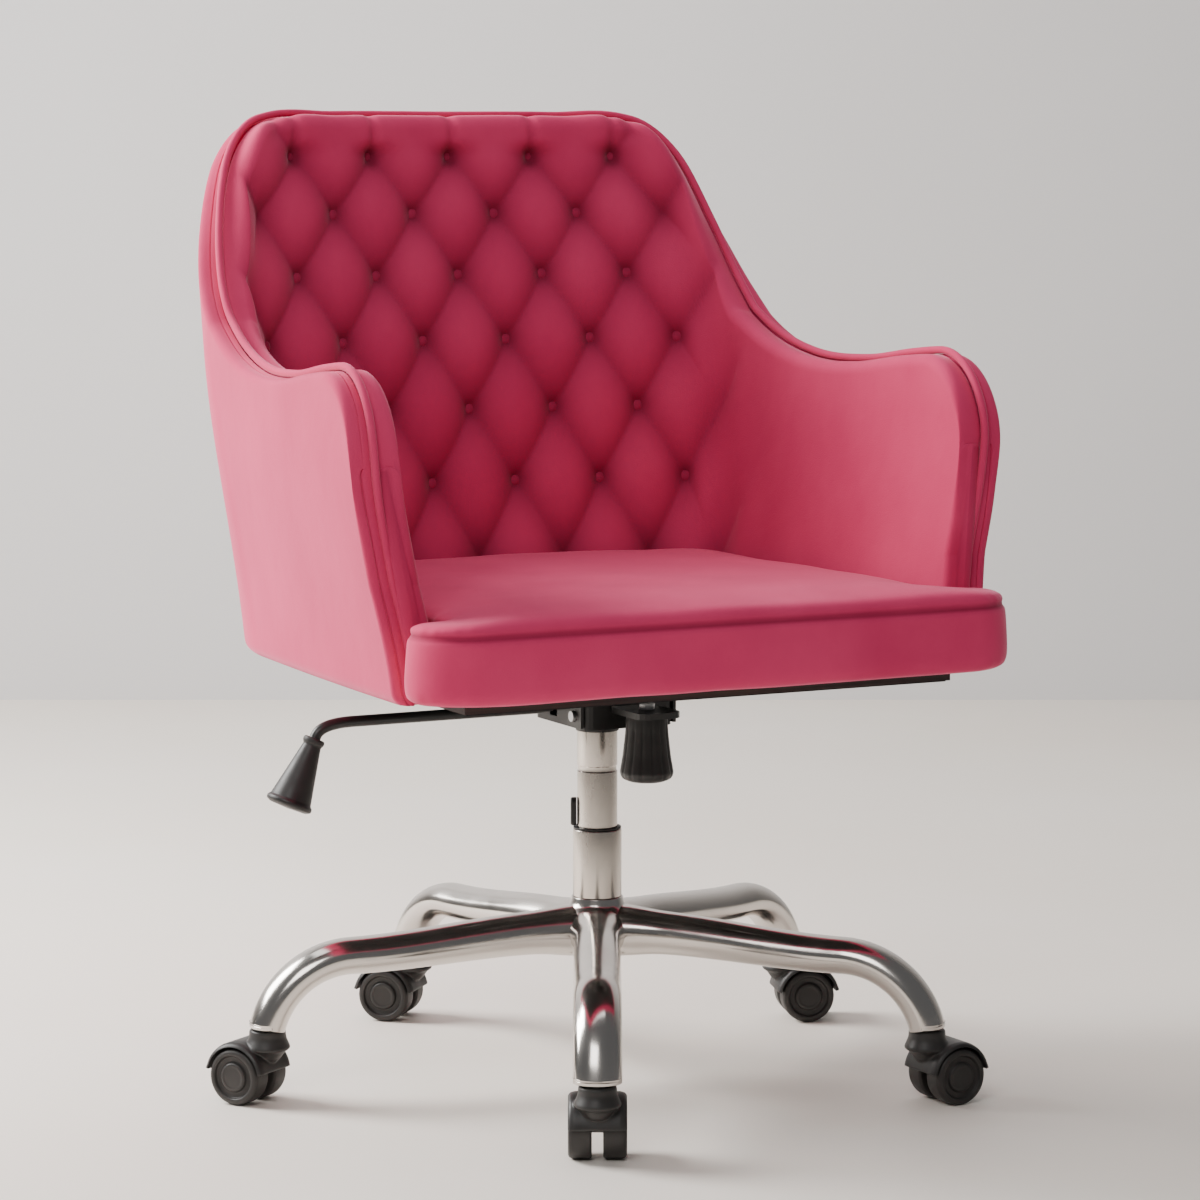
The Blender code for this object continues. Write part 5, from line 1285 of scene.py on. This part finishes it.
def cushion_mesh():
    start = cushion_blank()
    before = [v.co.copy() for v in start.vertices]
    mesh = blown_up(start)
    middle = (cushion_low + cushion_high) / 2
    moves = []
    for vertex, old in zip(mesh.vertices, before):
        moved = vertex.co - old
        reach = 0.003 + 0.006 * max(0.0, (old.z - middle.z) / (cushion_high.z - middle.z))
        if moved.length > reach:
            moved *= reach / moved.length
        moves.append(moved)
    for vertex, old, moved in zip(mesh.vertices, before, evened(mesh, moves)):
        vertex.co = old + Vector(moved)
    item = bpy.data.objects.new("cushion", mesh)
    bpy.context.scene.collection.objects.link(item)
    fine = item.modifiers.new("fine", "SUBSURF")
    fine.levels = 1
    mesh = evaluated(item)
    normals = [v.normal.copy() for v in mesh.vertices]
    # The seam is pressed in as a groove, and painted shade darkens the velvet along it.
    painted_shade = mesh.attributes.new("painted_shade", "FLOAT", "POINT")
    seam_z = cushion_high.z - SEAM_DROP
    for vertex, normal, seam_shade in zip(mesh.vertices, normals, painted_shade.data):
        off = vertex.co.z - seam_z
        amount = math.exp(-(off / 0.0030) ** 2) * blend(0, 1, (0.75 - abs(normal.z)) / 0.3)
        vertex.co -= normal * 0.0026 * amount
        vertex.co += normal * 0.0014 * noise.noise(vertex.co * 14)
        seam_shade.value = 0.75 * amount
    return mesh


cushion_case = bpy.data.objects.new("cushion_case", smooth_mesh(cushion_mesh(), 80))
cushion_case.data.materials.clear()
cushion_case.data.materials.append(velvet)
bpy.context.scene.collection.objects.link(cushion_case)
settled(cushion_case, "seat", ["seat_cushion"])

# ---- Studio ----------------------------------------------------------------------------------------
# A pale floor and backdrop in one room, a large soft light on the left and a camera a little above
# the seat's height.


def plane(name, corners, material):
    mesh = bpy.data.meshes.new(name)
    mesh.from_pydata(corners, [], [(0, 1, 2, 3)])
    mesh.materials.append(material)
    item = bpy.data.objects.new(name, mesh)
    bpy.context.scene.collection.objects.link(item)


def area_light(name, place, target, size, power, colour):
    light = bpy.data.lights.new(name, "AREA")
    light.shape = "RECTANGLE"
    light.size, light.size_y = size
    light.energy = power
    light.color = colour
    item = bpy.data.objects.new(name, light)
    item.location = place
    item.rotation_euler = (Vector(target) - Vector(place)).to_track_quat("-Z", "Y").to_euler()
    bpy.context.scene.collection.objects.link(item)


CAMERA_TURN = math.radians(-27.04)
WALL_AWAY = 2.57
view_right = Vector((math.cos(CAMERA_TURN), math.sin(CAMERA_TURN), 0))
view_ahead = Vector((-view_right.y, view_right.x, 0))


def in_view(right, ahead, height):
    """A place given as seen from the camera, about the column."""
    return column + view_right * right + view_ahead * ahead + Vector((0, 0, height))


def one_sided(paint):
    """Seen only from its face, so that the chair shows from behind and below as well."""
    tree = paint.node_tree
    side = tree.nodes.new("ShaderNodeNewGeometry")
    clear = tree.nodes.new("ShaderNodeBsdfTransparent")
    mix = tree.nodes.new("ShaderNodeMixShader")
    tree.links.new(side.outputs["Backfacing"], mix.inputs["Fac"])
    tree.links.new(tree.nodes["Principled BSDF"].outputs["BSDF"], mix.inputs[1])
    tree.links.new(clear.outputs["BSDF"], mix.inputs[2])
    tree.links.new(mix.outputs["Shader"], tree.nodes["Material Output"].inputs["Surface"])


floor_paint = finish("studio_floor", (0.88, 0.81, 0.73), 0.6)
spread(floor_paint, mottle(floor_paint, 1.5), "Base Color", (0.87, 0.80, 0.72), (0.89, 0.83, 0.76))
wall_paint = finish("studio_wall", (0.70, 0.69, 0.69), 0.9)
spread(wall_paint, mottle(wall_paint, 1.2), "Base Color", (0.69, 0.68, 0.68), (0.71, 0.70, 0.70))
one_sided(floor_paint)
one_sided(wall_paint)
near_left, near_right = in_view(-8, -8, 0), in_view(8, -8, 0)
far_left, far_right = in_view(-8, WALL_AWAY, 0), in_view(8, WALL_AWAY, 0)
plane("floor", [near_left, near_right, far_right, far_left], floor_paint)
plane("wall", [far_left, far_right, far_right + Vector((0, 0, 6)), far_left + Vector((0, 0, 6))], wall_paint)
area_light("key", in_view(-2.3, 0.55, 1.75), in_view(0, -0.2, 0.40), (1.3, 1.6), 165.0, (1.0, 0.99, 0.97))
area_light("front_fill", in_view(-0.8, -3.2, 2.9), in_view(0, -0.2, 0.4), (1.8, 1.6), 60.0, (1.0, 0.98, 0.96))
area_light("top_fill", in_view(-0.2, 0.5, 3.0), in_view(-0.1, 0.2, 0), (2.2, 2.2), 36.0, (1.0, 1.0, 1.0))
area_light("wall_light", in_view(-2.6, 1.2, 2.6), in_view(-0.6, WALL_AWAY, 1.6), (1.2, 1.2), 40.0,
           (0.99, 0.99, 1.0))
world = bpy.data.worlds.new("studio")
world.use_nodes = True
world.node_tree.nodes["Background"].inputs["Color"].default_value = (0.85, 0.87, 0.90, 1.0)
world.node_tree.nodes["Background"].inputs["Strength"].default_value = 0.17
bpy.context.scene.world = world
lens = bpy.data.cameras.new("view")
lens.lens = 119.1
lens.sensor_width = 36.0
lens.shift_x = 0.0023
viewer = bpy.data.objects.new("view", lens)
viewer.location = in_view(0, -3.693, 0.8835)
viewer.rotation_euler = (math.radians(90 - 6.59), 0, CAMERA_TURN)
bpy.context.scene.collection.objects.link(viewer)
bpy.context.scene.camera = viewer
